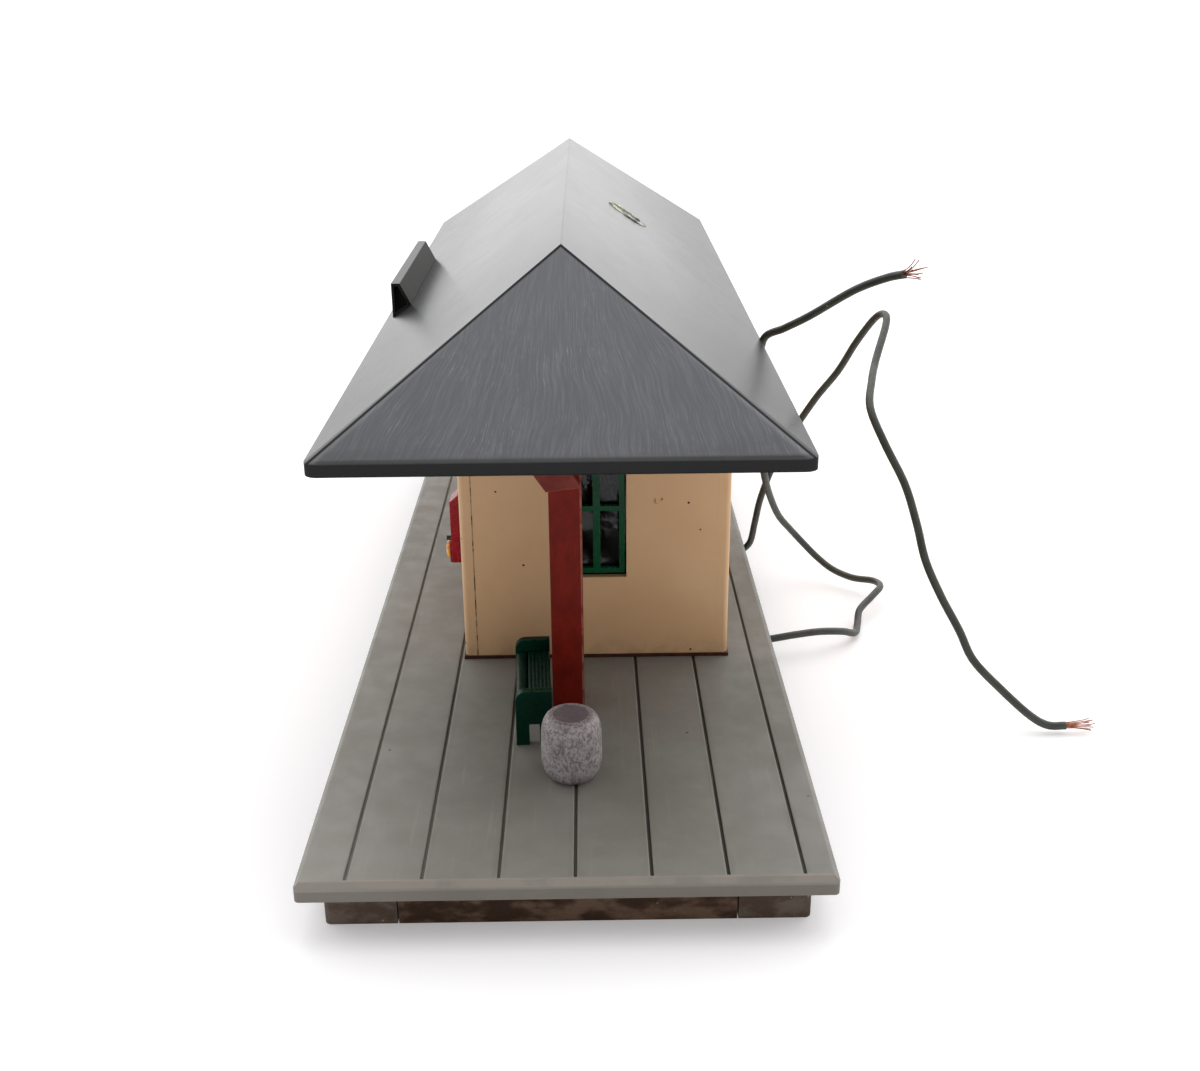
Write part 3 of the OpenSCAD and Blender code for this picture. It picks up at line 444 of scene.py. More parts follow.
def addDeckMarks(look, facts):
    # Grooves darker, most towards the right; dirt over their edges, streaks along the planks, the deck lighter
    # towards the left, dirt below the edge, and a painted highlight on the end lips
    tree, axes = look["tree"], look["axes"]
    across = calc(tree, "WRAP", calc(tree, "SUBTRACT", axes[0], facts["firstGroove"]), facts["pitch"] / 2,
                  -facts["pitch"] / 2)
    away = calc(tree, "ABSOLUTE", across)
    inField = times(tree, calc(tree, "LESS_THAN", calc(tree, "ABSOLUTE", axes[0]), facts["field"][0]),
                    calc(tree, "LESS_THAN", calc(tree, "ABSOLUTE", axes[1]), facts["field"][1]))
    smear = patches(look, 420.0, 0.35, 0.75, (1, 0.12, 1))
    spread = times(tree, ramp(tree, away, 0.4 * mm, 2.2 * mm, 0.55, 0.0), smear)
    overlay(look, times(tree, spread, inField), facts["smudge"])
    low = ramp(tree, axes[2], *facts["grooveDepth"], 1.0, 0.0)
    inside = times(tree, low, inField, calc(tree, "LESS_THAN", away, facts["halfGroove"]))
    worn = patches(look, 90.0, 0.4, 0.6, (1, 0.15, 1))
    overlay(look, inside, mix(tree, worn, facts["grooveDark"], facts["paleGroove"]), 0.8)
    deep = times(tree, inside, ramp(tree, axes[0], -35 * mm, 25 * mm, 0.1, 0.8))
    overlay(look, deep, facts["grooveDarkest"])
    streak = patches(look, 500.0, 0.58, 0.75, (1, 0.05, 1))
    overlay(look, times(tree, streak, 0.35), facts["streak"])
    # The deck lighter towards the left
    lighterLeft = ramp(tree, axes[0], -18 * mm, -60 * mm, 0.0, 0.4)
    overlay(look, lighterLeft, facts["lighterLeft"])
    side = ramp(tree, axes[2], *facts["sideTop"])
    overlay(look, times(tree, side, 0.6), facts["sideDirt"])
    # Painted highlight: the end lips of the deck lighter
    lipHighlight = band(tree, axes[2], *facts["lip"], 0.2 * mm)
    border = ramp(tree, calc(tree, "ABSOLUTE", axes[1]), *facts["lipStart"])
    patchy = patches(look, 130.0, 0.35, 0.6)
    overlay(look, times(tree, lipHighlight, border, ramp(tree, patchy, 0, 1, 0.35, 0.8)), facts["lipHighlight"])


addDeckMarks(deckPaint, deckFacts)
dress(deckPaint, "deck")

skirtDark = paint("skirtDark", {
    "colour": (0.034, 0.016, 0.009), "patchColour": (0.115, 0.07, 0.046), "patchScale": 170.0,
    "patchStretch": (0.5, 0.5, 1), "patchLow": 0.42, "patchHigh": 0.62, "rough": (0.6, 0.85),
    "edgeColour": (0.12, 0.085, 0.06), "specular": 0.15, "dust": 0.0, "grainScale": 900.0,
    "grainHeight": 0.12 * mm, "speckScale": 500.0, "speckSize": 0.12, "speckShare": 0.08,
    "speckColour": (0.14, 0.11, 0.085)})
skirtGrey = paint("skirtGrey", {
    "colour": (0.07, 0.046, 0.033), "patchColour": (0.12, 0.095, 0.075), "specular": 0.15, "dust": 0.0,
    "patchScale": 170.0, "patchStretch": (0.6, 0.6, 1), "patchLow": 0.42, "patchHigh": 0.62, "rough": (0.6, 0.85),
    "edgeColour": (0.22, 0.18, 0.15), "grainScale": 900.0, "grainHeight": 0.1 * mm, "speckScale": 500.0,
    "speckSize": 0.18, "speckShare": 0.15, "speckColour": (0.2, 0.17, 0.14)})
dress(skirtDark, "skirt_near", "skirt_far", "skirt_track", "skirt_rear")
dress(skirtGrey, "corner_blocks")
screwZinc = paint("screwZinc", {
    "colour": (0.56, 0.56, 0.57), "patchColour": (0.4, 0.39, 0.37), "patchScale": 600.0, "metal": 1.0,
    "rough": (0.25, 0.45), "dust": 0.0})
dress(screwZinc, "corner_screws", "bracket_screws")
print("platform finished")

# ---- House ----

houseFacts = {"centre": 7.5 * mm, "halfLength": 88 * mm, "halfWidth": 38 * mm, "wall": 2.3 * mm}
wallFacts = {
    "seamX": -26.9 * mm, "inside": (0.02, 0.014, 0.01), "insideX": (-28.3 * mm, 43.3 * mm),
    "insideY": (-85.85 * mm, 85.85 * mm), "chip": (0.045, 0.03, 0.022), "footDarker": (0.3, 0.2, 0.12),
    "scuffX": (24.6 * mm, 26.4 * mm), "scuffZ": (62.2 * mm, 63.6 * mm), "redMark": (0.3, 0.08, 0.04),
    "dots": [(-20.0, 66.5, 0.28), (33.6, 62.6, 0.34), (37.0, 54.5, 0.25)], "dotColour": (0.05, 0.02, 0.012)}
wallPaint = paint("wallPaint", {
    "colour": (0.7, 0.45, 0.25), "patchColour": (0.66, 0.41, 0.22), "patchScale": 30.0, "rough": (0.42, 0.55),
    "specular": 0.25, "edge": 0.25 * mm, "edgeWearAndHighlight": 0.35, "edgeColour": (0.8, 0.6, 0.4), "grainScale": 700.0,
    "grainHeight": 0.02 * mm, "speckScale": 230.0, "speckSize": 0.075, "speckShare": 0.08, "dust": 0.05})


def addWallMarks(look, facts):
    # Chips along the corner seam, darker near the foot, a red scuff, three dots, and a dark unlit inside
    tree, axes = look["tree"], look["axes"]
    seam = band(tree, axes[0], facts["seamX"] - 0.12 * mm, facts["seamX"] + 0.1 * mm, 0.12 * mm)
    broken = patches(look, 420.0, 0.42, 0.6, (0.2, 0.2, 1))
    overlay(look, times(tree, seam, ramp(tree, broken, 0, 1, 0.45, 1.0)), facts["chip"])
    foot = times(tree, ramp(tree, axes[2], 24 * mm, 16 * mm), patches(look, 160.0, 0.4, 0.7))
    overlay(look, times(tree, foot, 0.35), facts["footDarker"])
    scuffX = band(tree, axes[0], *facts["scuffX"], 1.1 * mm)
    scuffZ = band(tree, axes[2], *facts["scuffZ"], 0.9 * mm)
    speckle = patches(look, 700.0, 0.5, 0.58)
    overlay(look, times(tree, scuffX, scuffZ, speckle), facts["redMark"])
    for x, z, size in facts["dots"]:
        dx, dz = calc(tree, "SUBTRACT", axes[0], x * mm), calc(tree, "SUBTRACT", axes[2], z * mm)
        far = calc(tree, "SQRT", calc(tree, "ADD", times(tree, dx, dx), times(tree, dz, dz)))
        near = times(tree, ramp(tree, far, size * 1.3 * mm, size * 0.8 * mm), ramp(tree, axes[1], -86 * mm, -87 * mm))
        overlay(look, near, facts["dotColour"])
    insideX = band(tree, axes[0], *facts["insideX"], 0.02 * mm)
    insideY = band(tree, axes[1], *facts["insideY"], 0.02 * mm)
    overlay(look, times(tree, insideX, insideY), facts["inside"], 0.8)


addWallMarks(wallPaint, wallFacts)
dress(wallPaint, "wall_near", "wall_far", "wall_track", "wall_rear")

solePaint = paint("solePaint", {
    "colour": (0.08, 0.026, 0.014), "patchColour": (0.04, 0.014, 0.008), "patchScale": 260.0,
    "edgeColour": (0.2, 0.08, 0.05), "edge": 0.15 * mm, "specular": 0.15})
dress(solePaint, "house_sole")
framePaint = paint("framePaint", {
    "colour": (0.003, 0.075, 0.026), "patchColour": (0.003, 0.05, 0.018), "patchScale": 120.0,
    "rough": (0.16, 0.3), "edge": 0.3 * mm, "edgeColour": (0.015, 0.2, 0.09), "edgeWearAndHighlight": 0.5, "specular": 0.15,
    "dust": 0.0})
dress(framePaint, "window_near", "window_far", "windows_track", "windows_rear", "door_frame", "door_panel")
brassPolish = paint("brassPolish", {
    "colour": (0.62, 0.45, 0.17), "patchColour": (0.48, 0.32, 0.1), "patchScale": 300.0, "metal": 1.0,
    "rough": (0.15, 0.35), "dust": 0.0})
dress(brassPolish, "door_knob")

# The window and door sheets are each a width, a low and a high edge
filmFacts = {
    "thick": 0.12 * mm, "creases": 9, "depth": 0.75 * mm, "rows": 64, "columns": 36, "seed": 21,
    "window": (21 * mm, 38.6 * mm, 83.4 * mm), "door": (22 * mm, 53.4 * mm, 68.8 * mm)}


def filmSheet(width, low, high, seed, facts):
    # Crumpled sheet: the depth is a sum of folds, each the distance from a random line, made sharp
    draw = np.random.default_rng(facts["seed"] + seed)
    x = np.linspace(-width / 2, width / 2, facts["columns"])[None, :]
    z = np.linspace(low, high, facts["rows"])[:, None]
    depth = 0 * x * z
    for k in range(facts["creases"]):
        a = draw.uniform(0, np.pi)
        far = (x * np.cos(a) + (z - (low + high) / 2) * np.sin(a)) / width - draw.uniform(-0.9, 0.9)
        depth = depth + draw.uniform(0.4, 1) * np.abs(((far * draw.uniform(1, 2.5)) % 1) - 0.5)
    depth = 0.1 * mm + facts["depth"] * (depth - depth.min()) / (depth.max() - depth.min())
    spread = x + 0 * z
    front = np.stack([spread, depth, z + 0 * x], -1)
    back = np.stack([spread, depth + facts["thick"], z + 0 * x], -1)[:, ::-1]
    return np.concatenate([front, back], 1)


def intoWall(grid, side, along, facts):
    # The sheet's x, depth and z go to the wall's length, its inward side and up
    x, depth, z = grid[..., 0], grid[..., 1], grid[..., 2]
    centre, wall = facts["centre"], facts["wall"]
    if side == "near":
        return np.stack([centre + along + x, depth + wall - facts["halfLength"], z], -1)
    if side == "far":
        return np.stack([centre + along - x, facts["halfLength"] - wall - depth, z], -1)
    if side == "track":
        return np.stack([centre - facts["halfWidth"] + wall + depth, along - x, z], -1)
    return np.stack([centre + facts["halfWidth"] - wall - depth, along + x, z], -1)


def makeFilms(name, side, places, node, door=False):
    grids = [intoWall(filmSheet(*filmFacts["window"], 3 * k + len(side), filmFacts), side, a, houseFacts)
             for k, a in enumerate(places)]
    if door:
        grids.append(intoWall(filmSheet(*filmFacts["door"], 40, filmFacts), side, 0, houseFacts))
    return makePiece(name, grids, "station", [node], flat=True)


films = [
    makeFilms("filmNear", "near", [0], "film_near"),
    makeFilms("filmFar", "far", [0], "film_far"),
    makeFilms("filmTrack", "track", [-50 * mm, 50 * mm], "film_track", door=True),
    makeFilms("filmRear", "rear", [-52 * mm, 0, 52 * mm], "film_rear"),
]


def clearMaterial(name, tint, rough, least, grainScale, grainHeight):
    # Mostly clear, with a reflection that grows at a glancing look, and a faint tint
    material, tree, place = newMaterial(name)
    edge = use(tree, edgeGroup, Radius=0.1 * mm)
    normal = use(tree, grainGroup, Vector=place, Scale=grainScale, Height=grainHeight,
                 Normal=edge["Normal"])["Normal"]
    smear = use(tree, patchGroup, Vector=place, Scale=200.0, Low=0.45, High=0.8)["Mask"]
    glancing = put(tree, "LayerWeight", Blend=0.35, Normal=normal).outputs["Fresnel"]
    share = calc(tree, "ADD", times(tree, glancing, 0.35), ramp(tree, smear, 0, 1, least * 0.3, least), clamp=True)
    clear = put(tree, "BsdfTransparent", Color=tint).outputs[0]
    shine = put(tree, "BsdfGlossy", Color=(0.95, 0.96, 0.97), Roughness=rough, Normal=normal).outputs[0]
    both = put(tree, "MixShader", i0=share, i1=clear, i2=shine)
    put(tree, "OutputMaterial", Surface=both.outputs[0])
    return {"material": material, "tree": tree}


filmClear = clearMaterial("filmClear", (0.5, 0.52, 0.52), 0.08, 0.02, 500.0, 0.05 * mm)
for film in films:
    dress(filmClear, film.name)
print("house finished")

# ---- Wall box ----

boxRed = paint("boxRed", {
    "colour": (0.36, 0.012, 0.02), "patchColour": (0.28, 0.008, 0.014), "patchScale": 200.0, "rough": (0.2, 0.35),
    "edge": 0.35 * mm, "edgeColour": (0.6, 0.12, 0.12), "edgeWearAndHighlight": 0.5, "specular": 0.2, "dust": 0.0})
# Painted shade: the box darker where it meets the wall
shadeNearWall = ramp(boxRed["tree"], boxRed["axes"][0], -31.6 * mm, -30.8 * mm)
overlay(boxRed, shadeNearWall, (0.11, 0.008, 0.012), 0.5)
knobDark = paint("knobDark", {
    "colour": (0.035, 0.022, 0.026), "patchColour": (0.06, 0.03, 0.035), "edge": 0.3 * mm,
    "edgeColour": (0.2, 0.12, 0.12), "rough": (0.2, 0.4)})
flapYellow = paint("flapYellow", {
    "colour": (0.8, 0.34, 0.012), "patchColour": (0.55, 0.1, 0.01), "patchScale": 450.0, "patchLow": 0.5,
    "patchHigh": 0.62, "rough": (0.35, 0.6), "edge": 0.2 * mm, "edgeColour": (0.85, 0.5, 0.1),
    "grainHeight": 0.06 * mm})
flapFacts = {
    "rings": 10, "sides": 48, "thick": 1.3 * mm, "low": (-79.1, 42.6), "high": (-73.9, 48.0), "power": 0.55,
    "caseFace": -34.35 * mm}


def flapGrid(facts):
    # Hand-painted blob: a rounded rectangle whose edge wanders, domed from rim to middle
    low, high = np.array(facts["low"]) * mm, np.array(facts["high"]) * mm
    a = np.arange(facts["sides"]) * 2 * np.pi / facts["sides"]
    t = np.linspace(0, 1, facts["rings"])[:, None]
    y = np.sign(np.cos(a)) * np.abs(np.cos(a))**facts["power"]
    z = np.sign(np.sin(a)) * np.abs(np.sin(a))**facts["power"]
    wander = 1 + 0.06 * np.sin(3 * a + 1) + 0.04 * np.sin(7 * a)
    size = np.cos(t * np.pi / 2 * 0.97)
    middle, half = (low + high) / 2, (high - low) / 2
    out = facts["caseFace"] - facts["thick"] * np.sin(t * np.pi / 2) + 0 * a
    return np.stack([out, middle[0] + half[0] * size * y * wander, middle[1] + half[1] * size * z * wander], -1)


boxFlap = makePiece("boxFlap", [flapGrid(flapFacts)], "station", ["box_flap"])
dress(boxRed, "box_back", "box_case")
dress(knobDark, "box_knob")
dress(flapYellow, "boxFlap")

# ---- Roof ----

roofPaint = paint("roofPaint", {
    "colour": (0.03, 0.031, 0.034), "patchColour": (0.034, 0.035, 0.038), "patchScale": 25.0,
    "rough": (0.24, 0.24), "edge": 0.9 * mm, "edgeWearAndHighlight": 0.0, "grainScale": 500.0, "grainHeight": 0.0006 * mm,
    "speckScale": 120.0, "speckSize": 0.035, "speckShare": 0.12, "speckColour": (0.3, 0.29, 0.28), "dust": 0.05,
    "dustColour": (0.16, 0.16, 0.165), "specular": 0.6})


# The hip lines run from the ends' ridge point at hipStart over hipRun; the scratches fan out from fanTop
roofFacts = {
    "halfWidth": 56 * mm, "hipStart": 120.5 * mm, "hipRun": 43.5 * mm, "fanTop": 165 * mm,
    "aboveRim": (101.4 * mm, 102.2 * mm), "rim": (101.3 * mm, 100.7 * mm), "haze": (0.062, 0.064, 0.075),
    "scratch": (0.14, 0.145, 0.165), "fineScratch": (0.36, 0.37, 0.4), "lowSmear": (0.035, 0.036, 0.04),
    "darkReflection": (0.01, 0.01, 0.011), "shineIndex": 1.8}


def addRoofWear(look, facts):
    # Haze, scratches that fan down the hip ends, and a dark smear above the rim
    tree, axes = look["tree"], look["axes"]
    facing = split(tree, put(tree, "NewGeometry").outputs["True Normal"])
    hip = ramp(tree, calc(tree, "ABSOLUTE", facing[1]), 0.3, 0.5)
    hip = times(tree, hip, ramp(tree, axes[2], *facts["aboveRim"]))
    rise = calc(tree, "SUBTRACT", facts["fanTop"], axes[2])
    bend = put(tree, "TexNoise", Vector=look["place"], Scale=38.0, Detail=2.0).outputs[0]
    fan = calc(tree, "ADD", calc(tree, "DIVIDE", axes[0], rise), times(tree, bend, 0.16))
    lines = put(tree, "CombineXYZ", X=times(tree, fan, 150.0),
                Y=times(tree, axes[2], 130.0), Z=times(tree, axes[1], 30.0)).outputs[0]
    scratch = put(tree, "TexNoise", Vector=lines, Scale=1.0, Detail=4.0, Roughness=0.7).outputs[0]
    fineLines = put(tree, "TexNoise", Vector=lines, Scale=2.6, Detail=2.0, Roughness=0.6,
                    Distortion=0.5).outputs[0]
    overlay(look, times(tree, hip, 0.9), facts["haze"], 0.45)
    mask = times(tree, hip, ramp(tree, scratch, 0.42, 0.7))
    overlay(look, times(tree, mask, 0.55), facts["scratch"], 0.4)
    worn = patches(look, 45.0, 0.42, 0.62)
    mask = times(tree, hip, worn, ramp(tree, fineLines, 0.6, 0.7))
    overlay(look, times(tree, mask, 0.5), facts["fineScratch"])
    lowSmear = times(tree, hip, ramp(tree, axes[2], 107 * mm, 102 * mm), patches(look, 150.0, 0.4, 0.6, (0.2, 1, 1)))
    overlay(look, times(tree, lowSmear, 0.5), facts["lowSmear"])
    return hip, ramp(tree, axes[2], *facts["rim"])


def addPaintedDarkReflection(look, facts, hip, rim):
    # Painted dark reflection: part of the gloss is swapped for a near-black diffuse, nearly all on the rim and the
    # hip lines, and some low down, near and right as painted shade on the slopes
    tree, axes = look["tree"], look["axes"]
    look["shader"].inputs["IOR"].default_value = facts["shineIndex"]
    slope = calc(tree, "SUBTRACT", 1.0, hip)
    low = ramp(tree, axes[2], 128 * mm, 102 * mm, 0.12, 0.2)
    right = ramp(tree, axes[0], 0.0, 52 * mm, 0.0, 0.16)
    near = ramp(tree, axes[1], -20 * mm, -140 * mm, 0.0, 0.1)
    cloud = patches(look, 30.0, 0.3, 0.7, (1, 0.3, 1))
    amount = calc(tree, "ADD", calc(tree, "ADD", low, right), calc(tree, "ADD", near, times(tree, cloud, 0.05)))
    amount = times(tree, amount, slope)
    amount = calc(tree, "MAXIMUM", amount, times(tree, rim, 0.88))
    across = calc(tree, "DIVIDE", calc(tree, "ABSOLUTE", axes[0]), facts["halfWidth"])
    along = calc(tree, "DIVIDE", calc(tree, "SUBTRACT", calc(tree, "ABSOLUTE", axes[1]), facts["hipStart"]),
                 facts["hipRun"])
    line = ramp(tree, calc(tree, "ABSOLUTE", calc(tree, "SUBTRACT", across, along)), 0.024, 0.008)
    amount = calc(tree, "MAXIMUM", amount, times(tree, line, 0.9), clamp=True)
    amount = calc(tree, "MAXIMUM", amount, times(tree, hip, 0.2))
    hazed = times(tree, hip, calc(tree, "SUBTRACT", 1.0, line))
    darkDiffuse = put(tree, "BsdfDiffuse", Color=mix(tree, hazed, facts["darkReflection"], look["colour"])).outputs[0]
    both = put(tree, "MixShader", i0=amount, i1=look["shader"].outputs[0], i2=darkDiffuse)
    tree.links.new(both.outputs[0], look["output"].inputs["Surface"])


hipMask, rimMask = addRoofWear(roofPaint, roofFacts)
dress(roofPaint, "roof_shell")

boardPaint = paint("boardPaint", {
    "colour": (0.012, 0.012, 0.01), "patchColour": (0.02, 0.019, 0.016), "patchScale": 60.0, "rough": (0.3, 0.3),
    "edge": 0.35 * mm, "edgeColour": (0.12, 0.12, 0.115), "edgeWearAndHighlight": 0.6, "dust": 0.0, "specular": 0.06,
    "grainHeight": 0.001 * mm})
# Painted reflection: the faces that look up are lighter grey, and the edges are light as a painted highlight
upward = split(boardPaint["tree"], put(boardPaint["tree"], "NewGeometry").outputs["True Normal"])[2]
overlay(boardPaint, ramp(boardPaint["tree"], upward, 0.85, 0.95), (0.15, 0.15, 0.148), 0.4)
dress(boardPaint, "name_board")

glueFacts = {
    "centre": (19.4, 13), "radius": 6.1 * mm, "width": 0.95 * mm, "height": 0.42 * mm, "turns": 96, "ring": 14,
    "ridge": 140 * mm, "fall": 39 / 56}


def glueGrid(facts):
    # Wandering ring on the roof slope: radius and width vary with the angle, and the section is a low dome
    a = np.linspace(0, 2 * np.pi * (1 - 1 / facts["turns"]), facts["turns"])[:, None]
    b = (np.arange(facts["ring"]) * 2 * np.pi / facts["ring"])[None, :]
    radius = facts["radius"] * (1 + 0.07 * np.sin(2 * a + 0.6) + 0.04 * np.sin(5 * a))
    width = facts["width"] * (1 + 0.45 * np.sin(3 * a + 2) + 0.25 * np.sin(8 * a))
    height = facts["height"] * (1 + 0.3 * np.sin(4 * a) + 0.2 * np.sin(11 * a))
    r = radius + width * np.cos(b)
    up = np.maximum(height * np.sin(b), 0.0) + 0.02 * mm
    slope = math.atan(facts["fall"])
    x, y = r * np.cos(a), r * np.sin(a)
    cx, cy = facts["centre"][0] * mm, facts["centre"][1] * mm
    cz = facts["ridge"] - math.tan(slope) * cx
    return np.stack([cx + x * math.cos(slope) + up * math.sin(slope), cy + y,
                     cz - x * math.sin(slope) + up * math.cos(slope)], -1)


def makeRing(name, grid, body, instead):
    # Closes a grid both ways: the last ring joins the first
    rows, columns = grid.shape[:2]
    i, j = np.meshgrid(np.arange(rows), np.arange(columns), indexing="ij")
    n, k = (i + 1) % rows, (j + 1) % columns
    quads = np.stack([i * columns + j, n * columns + j, n * columns + k, i * columns + k], -1).reshape(-1, 4)
    return addMesh(name, grid.reshape(-1, 3), quads.tolist(), body, instead)


makeRing("glueRing", glueGrid(glueFacts), "roof", ["chimney_glue"])
gluePaint = paint("gluePaint", {
    "colour": (0.2, 0.2, 0.16), "patchColour": (0.5, 0.5, 0.34), "patchScale": 260.0, "patchLow": 0.45,
    "patchHigh": 0.6, "rough": (0.3, 0.5), "edge": 0.1 * mm, "speckScale": 900.0, "speckSize": 0.25,
    "speckShare": 0.2, "dust": 0.0})
dress(gluePaint, "glueRing")


def addGlueStain(look, facts):
    # Pale and dark stain inside the ring, at the place where the chimney once stood
    tree, axes = look["tree"], look["axes"]
    dx = calc(tree, "DIVIDE", calc(tree, "SUBTRACT", axes[0], facts["centre"][0] * mm), 5.0 * mm)
    dy = calc(tree, "DIVIDE", calc(tree, "SUBTRACT", axes[1], facts["centre"][1] * mm), 6.0 * mm)
    wander = times(tree, patches(look, 300.0, 0.2, 0.8), 0.5)
    far = calc(tree, "SQRT", calc(tree, "ADD", times(tree, dx, dx), times(tree, dy, dy)))
    far = calc(tree, "ADD", far, wander)
    top = ramp(tree, axes[2], 118 * mm, 119 * mm)
    inner = times(tree, ramp(tree, far, 1.05, 0.9), top)
    overlay(look, inner, (0.03, 0.028, 0.022), 0.6)
    blot = patches(look, 420.0, 0.5, 0.56)
    overlay(look, times(tree, inner, blot), (0.5, 0.49, 0.36), 0.6)


addGlueStain(roofPaint, glueFacts)
addPaintedDarkReflection(roofPaint, roofFacts, hipMask, rimMask)
print("roof finished")

# ---- Posts ----

postPaint = paint("postPaint", {
    "colour": (0.185, 0.011, 0.005), "patchColour": (0.12, 0.008, 0.004), "patchScale": 330.0,
    "patchStretch": (1, 1, 0.5), "patchLow": 0.3, "patchHigh": 0.75, "rough": (0.36, 0.55), "edge": 0.3 * mm,
    "edgeColour": (0.3, 0.12, 0.09), "edgeWearAndHighlight": 0.5, "grainScale": 1300.0, "grainStretch": (1, 1, 0.2),
    "grainHeight": 0.05 * mm, "speckScale": 500.0, "speckSize": 0.12, "speckShare": 0.1, "dust": 0.0,
    "specular": 0.12})


def addPostStreaksAndHighlight(look):
    # Long pale brush marks, and a broken painted highlight down the right-hand edge
    tree, axes = look["tree"], look["axes"]
    marks = patches(look, 900.0, 0.6, 0.74, (1, 1, 0.07))
    overlay(look, times(tree, marks, 0.2), (0.3, 0.06, 0.04))
    # Painted highlight down the right-hand edge
    line = band(tree, axes[0], 3.55 * mm, 3.85 * mm, 0.15 * mm)
    broken = patches(look, 200.0, 0.3, 0.6, (0.3, 0.3, 1))
    below = ramp(tree, axes[2], 94 * mm, 93 * mm)
    overlay(look, times(tree, line, below, broken, 0.55), (0.4, 0.2, 0.15))


addPostStreaksAndHighlight(postPaint)
dress(postPaint, "post_near", "post_far", "beam_near", "beam_far")
# Painted light: the brackets are a lighter copy of the post red, for the floor's light on their down-facing fronts,
# with light edges as a painted highlight
bracketLitPaint = paint("bracketLitPaint", {
    "colour": (0.2, 0.036, 0.026), "patchColour": (0.15, 0.024, 0.018), "patchScale": 300.0, "rough": (0.4, 0.6),
    "edge": 0.35 * mm, "edgeColour": (0.5, 0.2, 0.15), "edgeWearAndHighlight": 0.7, "grainHeight": 0.04 * mm,
    "specular": 0.12, "dust": 0.0})
dress(bracketLitPaint, "bracket_near", "bracket_far")
print("posts finished")

# ---- Bench ----

benchFacts = {
    "corner": (-13.5, -137.2, 15), "turn": math.radians(2.5), "length": 31.5, "endThick": 2, "ribs": 6,
    "firstRib": 3.35, "lastRib": 9.3, "seat": 12.2, "ribHeight": 0.5, "under": 9.6, "roll": (1.7, 10.6, 1.57)}


def onBench(points, facts):
    # Bench axes (back, along, up) turned about the front corner of the near end panel
    c, s = math.cos(facts["turn"]), math.sin(facts["turn"])
    x, y, z = points[..., 0], points[..., 1], points[..., 2]
    return mm * (np.stack([x * c - y * s, x * s + y * c, z], -1) + np.array(facts["corner"]))


def seatGrid(facts):
    # Ribbed seat: the top of the section is a row of round ribs, |sin| across each rib
    steps = facts["ribs"] * 10 + 1
    x = np.linspace(facts["firstRib"], facts["lastRib"], steps)
    phase = (x - facts["firstRib"]) / (facts["lastRib"] - facts["firstRib"]) * facts["ribs"] * np.pi
    top = facts["seat"] - facts["ribHeight"] + facts["ribHeight"] * np.abs(np.sin(phase))**0.7
    section = np.concatenate([np.stack([x, top], -1), [[facts["lastRib"], facts["under"]],
                                                       [facts["firstRib"], facts["under"]]]])
    y = np.linspace(facts["endThick"], facts["length"] - facts["endThick"], 24)
    grid = np.empty((len(y), len(section), 3))
    grid[..., 0], grid[..., 2] = section[:, 0], section[:, 1]
    grid[..., 1] = y[:, None]
    grid[..., 2] += 0.06 * np.sin(y * 0.31)[:, None]
    return onBench(grid, facts)


def railGrid(facts):
    # Front roll: a round rail that swells a little where it meets the end panels
    y = np.linspace(facts["endThick"], facts["length"] - facts["endThick"], 30)
    x, z, radius = facts["roll"]
    path = np.stack([0 * y + x, y, 0 * y + z], -1)
    size = 1 + 0.03 * np.cos(2 * np.pi * (y - y[0]) / (y[-1] - y[0]))
    return onBench(sweep(path, circle(radius, 28), size), facts)


makePiece("benchSeat", [seatGrid(benchFacts)], "station", ["bench_slats"])
makePiece("benchRoll", [railGrid(benchFacts)], "station", ["bench_rail"])
# Painted highlight: the light green edge colour of the bench
benchPaint = paint("benchPaint", {
    "colour": (0.003, 0.028, 0.016), "patchColour": (0.003, 0.02, 0.012), "patchScale": 150.0,
    "rough": (0.26, 0.4), "edge": 0.4 * mm, "edgeColour": (0.05, 0.17, 0.11), "edgeWearAndHighlight": 0.7, "dust": 0.0,
    "specular": 0.06, "speckScale": 400.0, "speckSize": 0.06, "speckShare": 0.03,
    "speckColour": (0.15, 0.18, 0.15)})
dress(benchPaint, "bench_end_near", "bench_end_far", "benchSeat", "benchRoll")

# ---- Barrel ----

barrelFacts = {"centre": (0.8, -151, 15), "height": 17, "middle": 7.5, "end": 5.55, "rim": 0.75, "sides": 96}


def barrelProfile(facts):
    # Bulge falls with the fourth power of the height from the middle, and the rims are quarter rounds
    z = np.linspace(0, 1, 44)
    u = 2 * z - 1
    radius = facts["end"] + (facts["middle"] - facts["end"]) * (1 - u**4)
    drop = facts["rim"] * (1 - np.sqrt(np.clip(1 - np.clip((np.abs(u) - 0.9) / 0.1, 0, 1)**2, 0, 1)))
    side = np.stack([radius - drop, z * facts["height"]], -1)
    inner = facts["end"] - facts["rim"] - 0.35
    return np.vstack([[0.4, 0.0], side, [inner, facts["height"] - 0.1], [inner - 0.15, facts["height"] - 0.5],
                      [0.4, facts["height"] - 0.5]])


def barrelGrid(facts):
    grid = revolve(barrelProfile(facts), (0, 0, 0), facts["sides"])
    a = np.arange(facts["sides"]) * 2 * np.pi / facts["sides"]
    dents = 1 + 0.006 * np.sin(3 * a + 0.5) + 0.004 * np.sin(5 * a + 2 + 0.3 * grid[..., 2])
    grid[..., :2] *= dents[..., None]
    return mm * (grid + np.array(facts["centre"]))


def lidGrid(facts):
    # Shallow lid that sinks slightly to its middle
    r = np.array([0.2, 1.5, 3.0, 4.0, 4.35, 4.45, 4.45, 0.2])
    z = np.array([-0.2, -0.18, -0.13, -0.1, -0.14, -0.25, -0.45, -0.45])
    grid = revolve(np.stack([r, facts["height"] + z], -1), facts["centre"], 64)
    return mm * grid


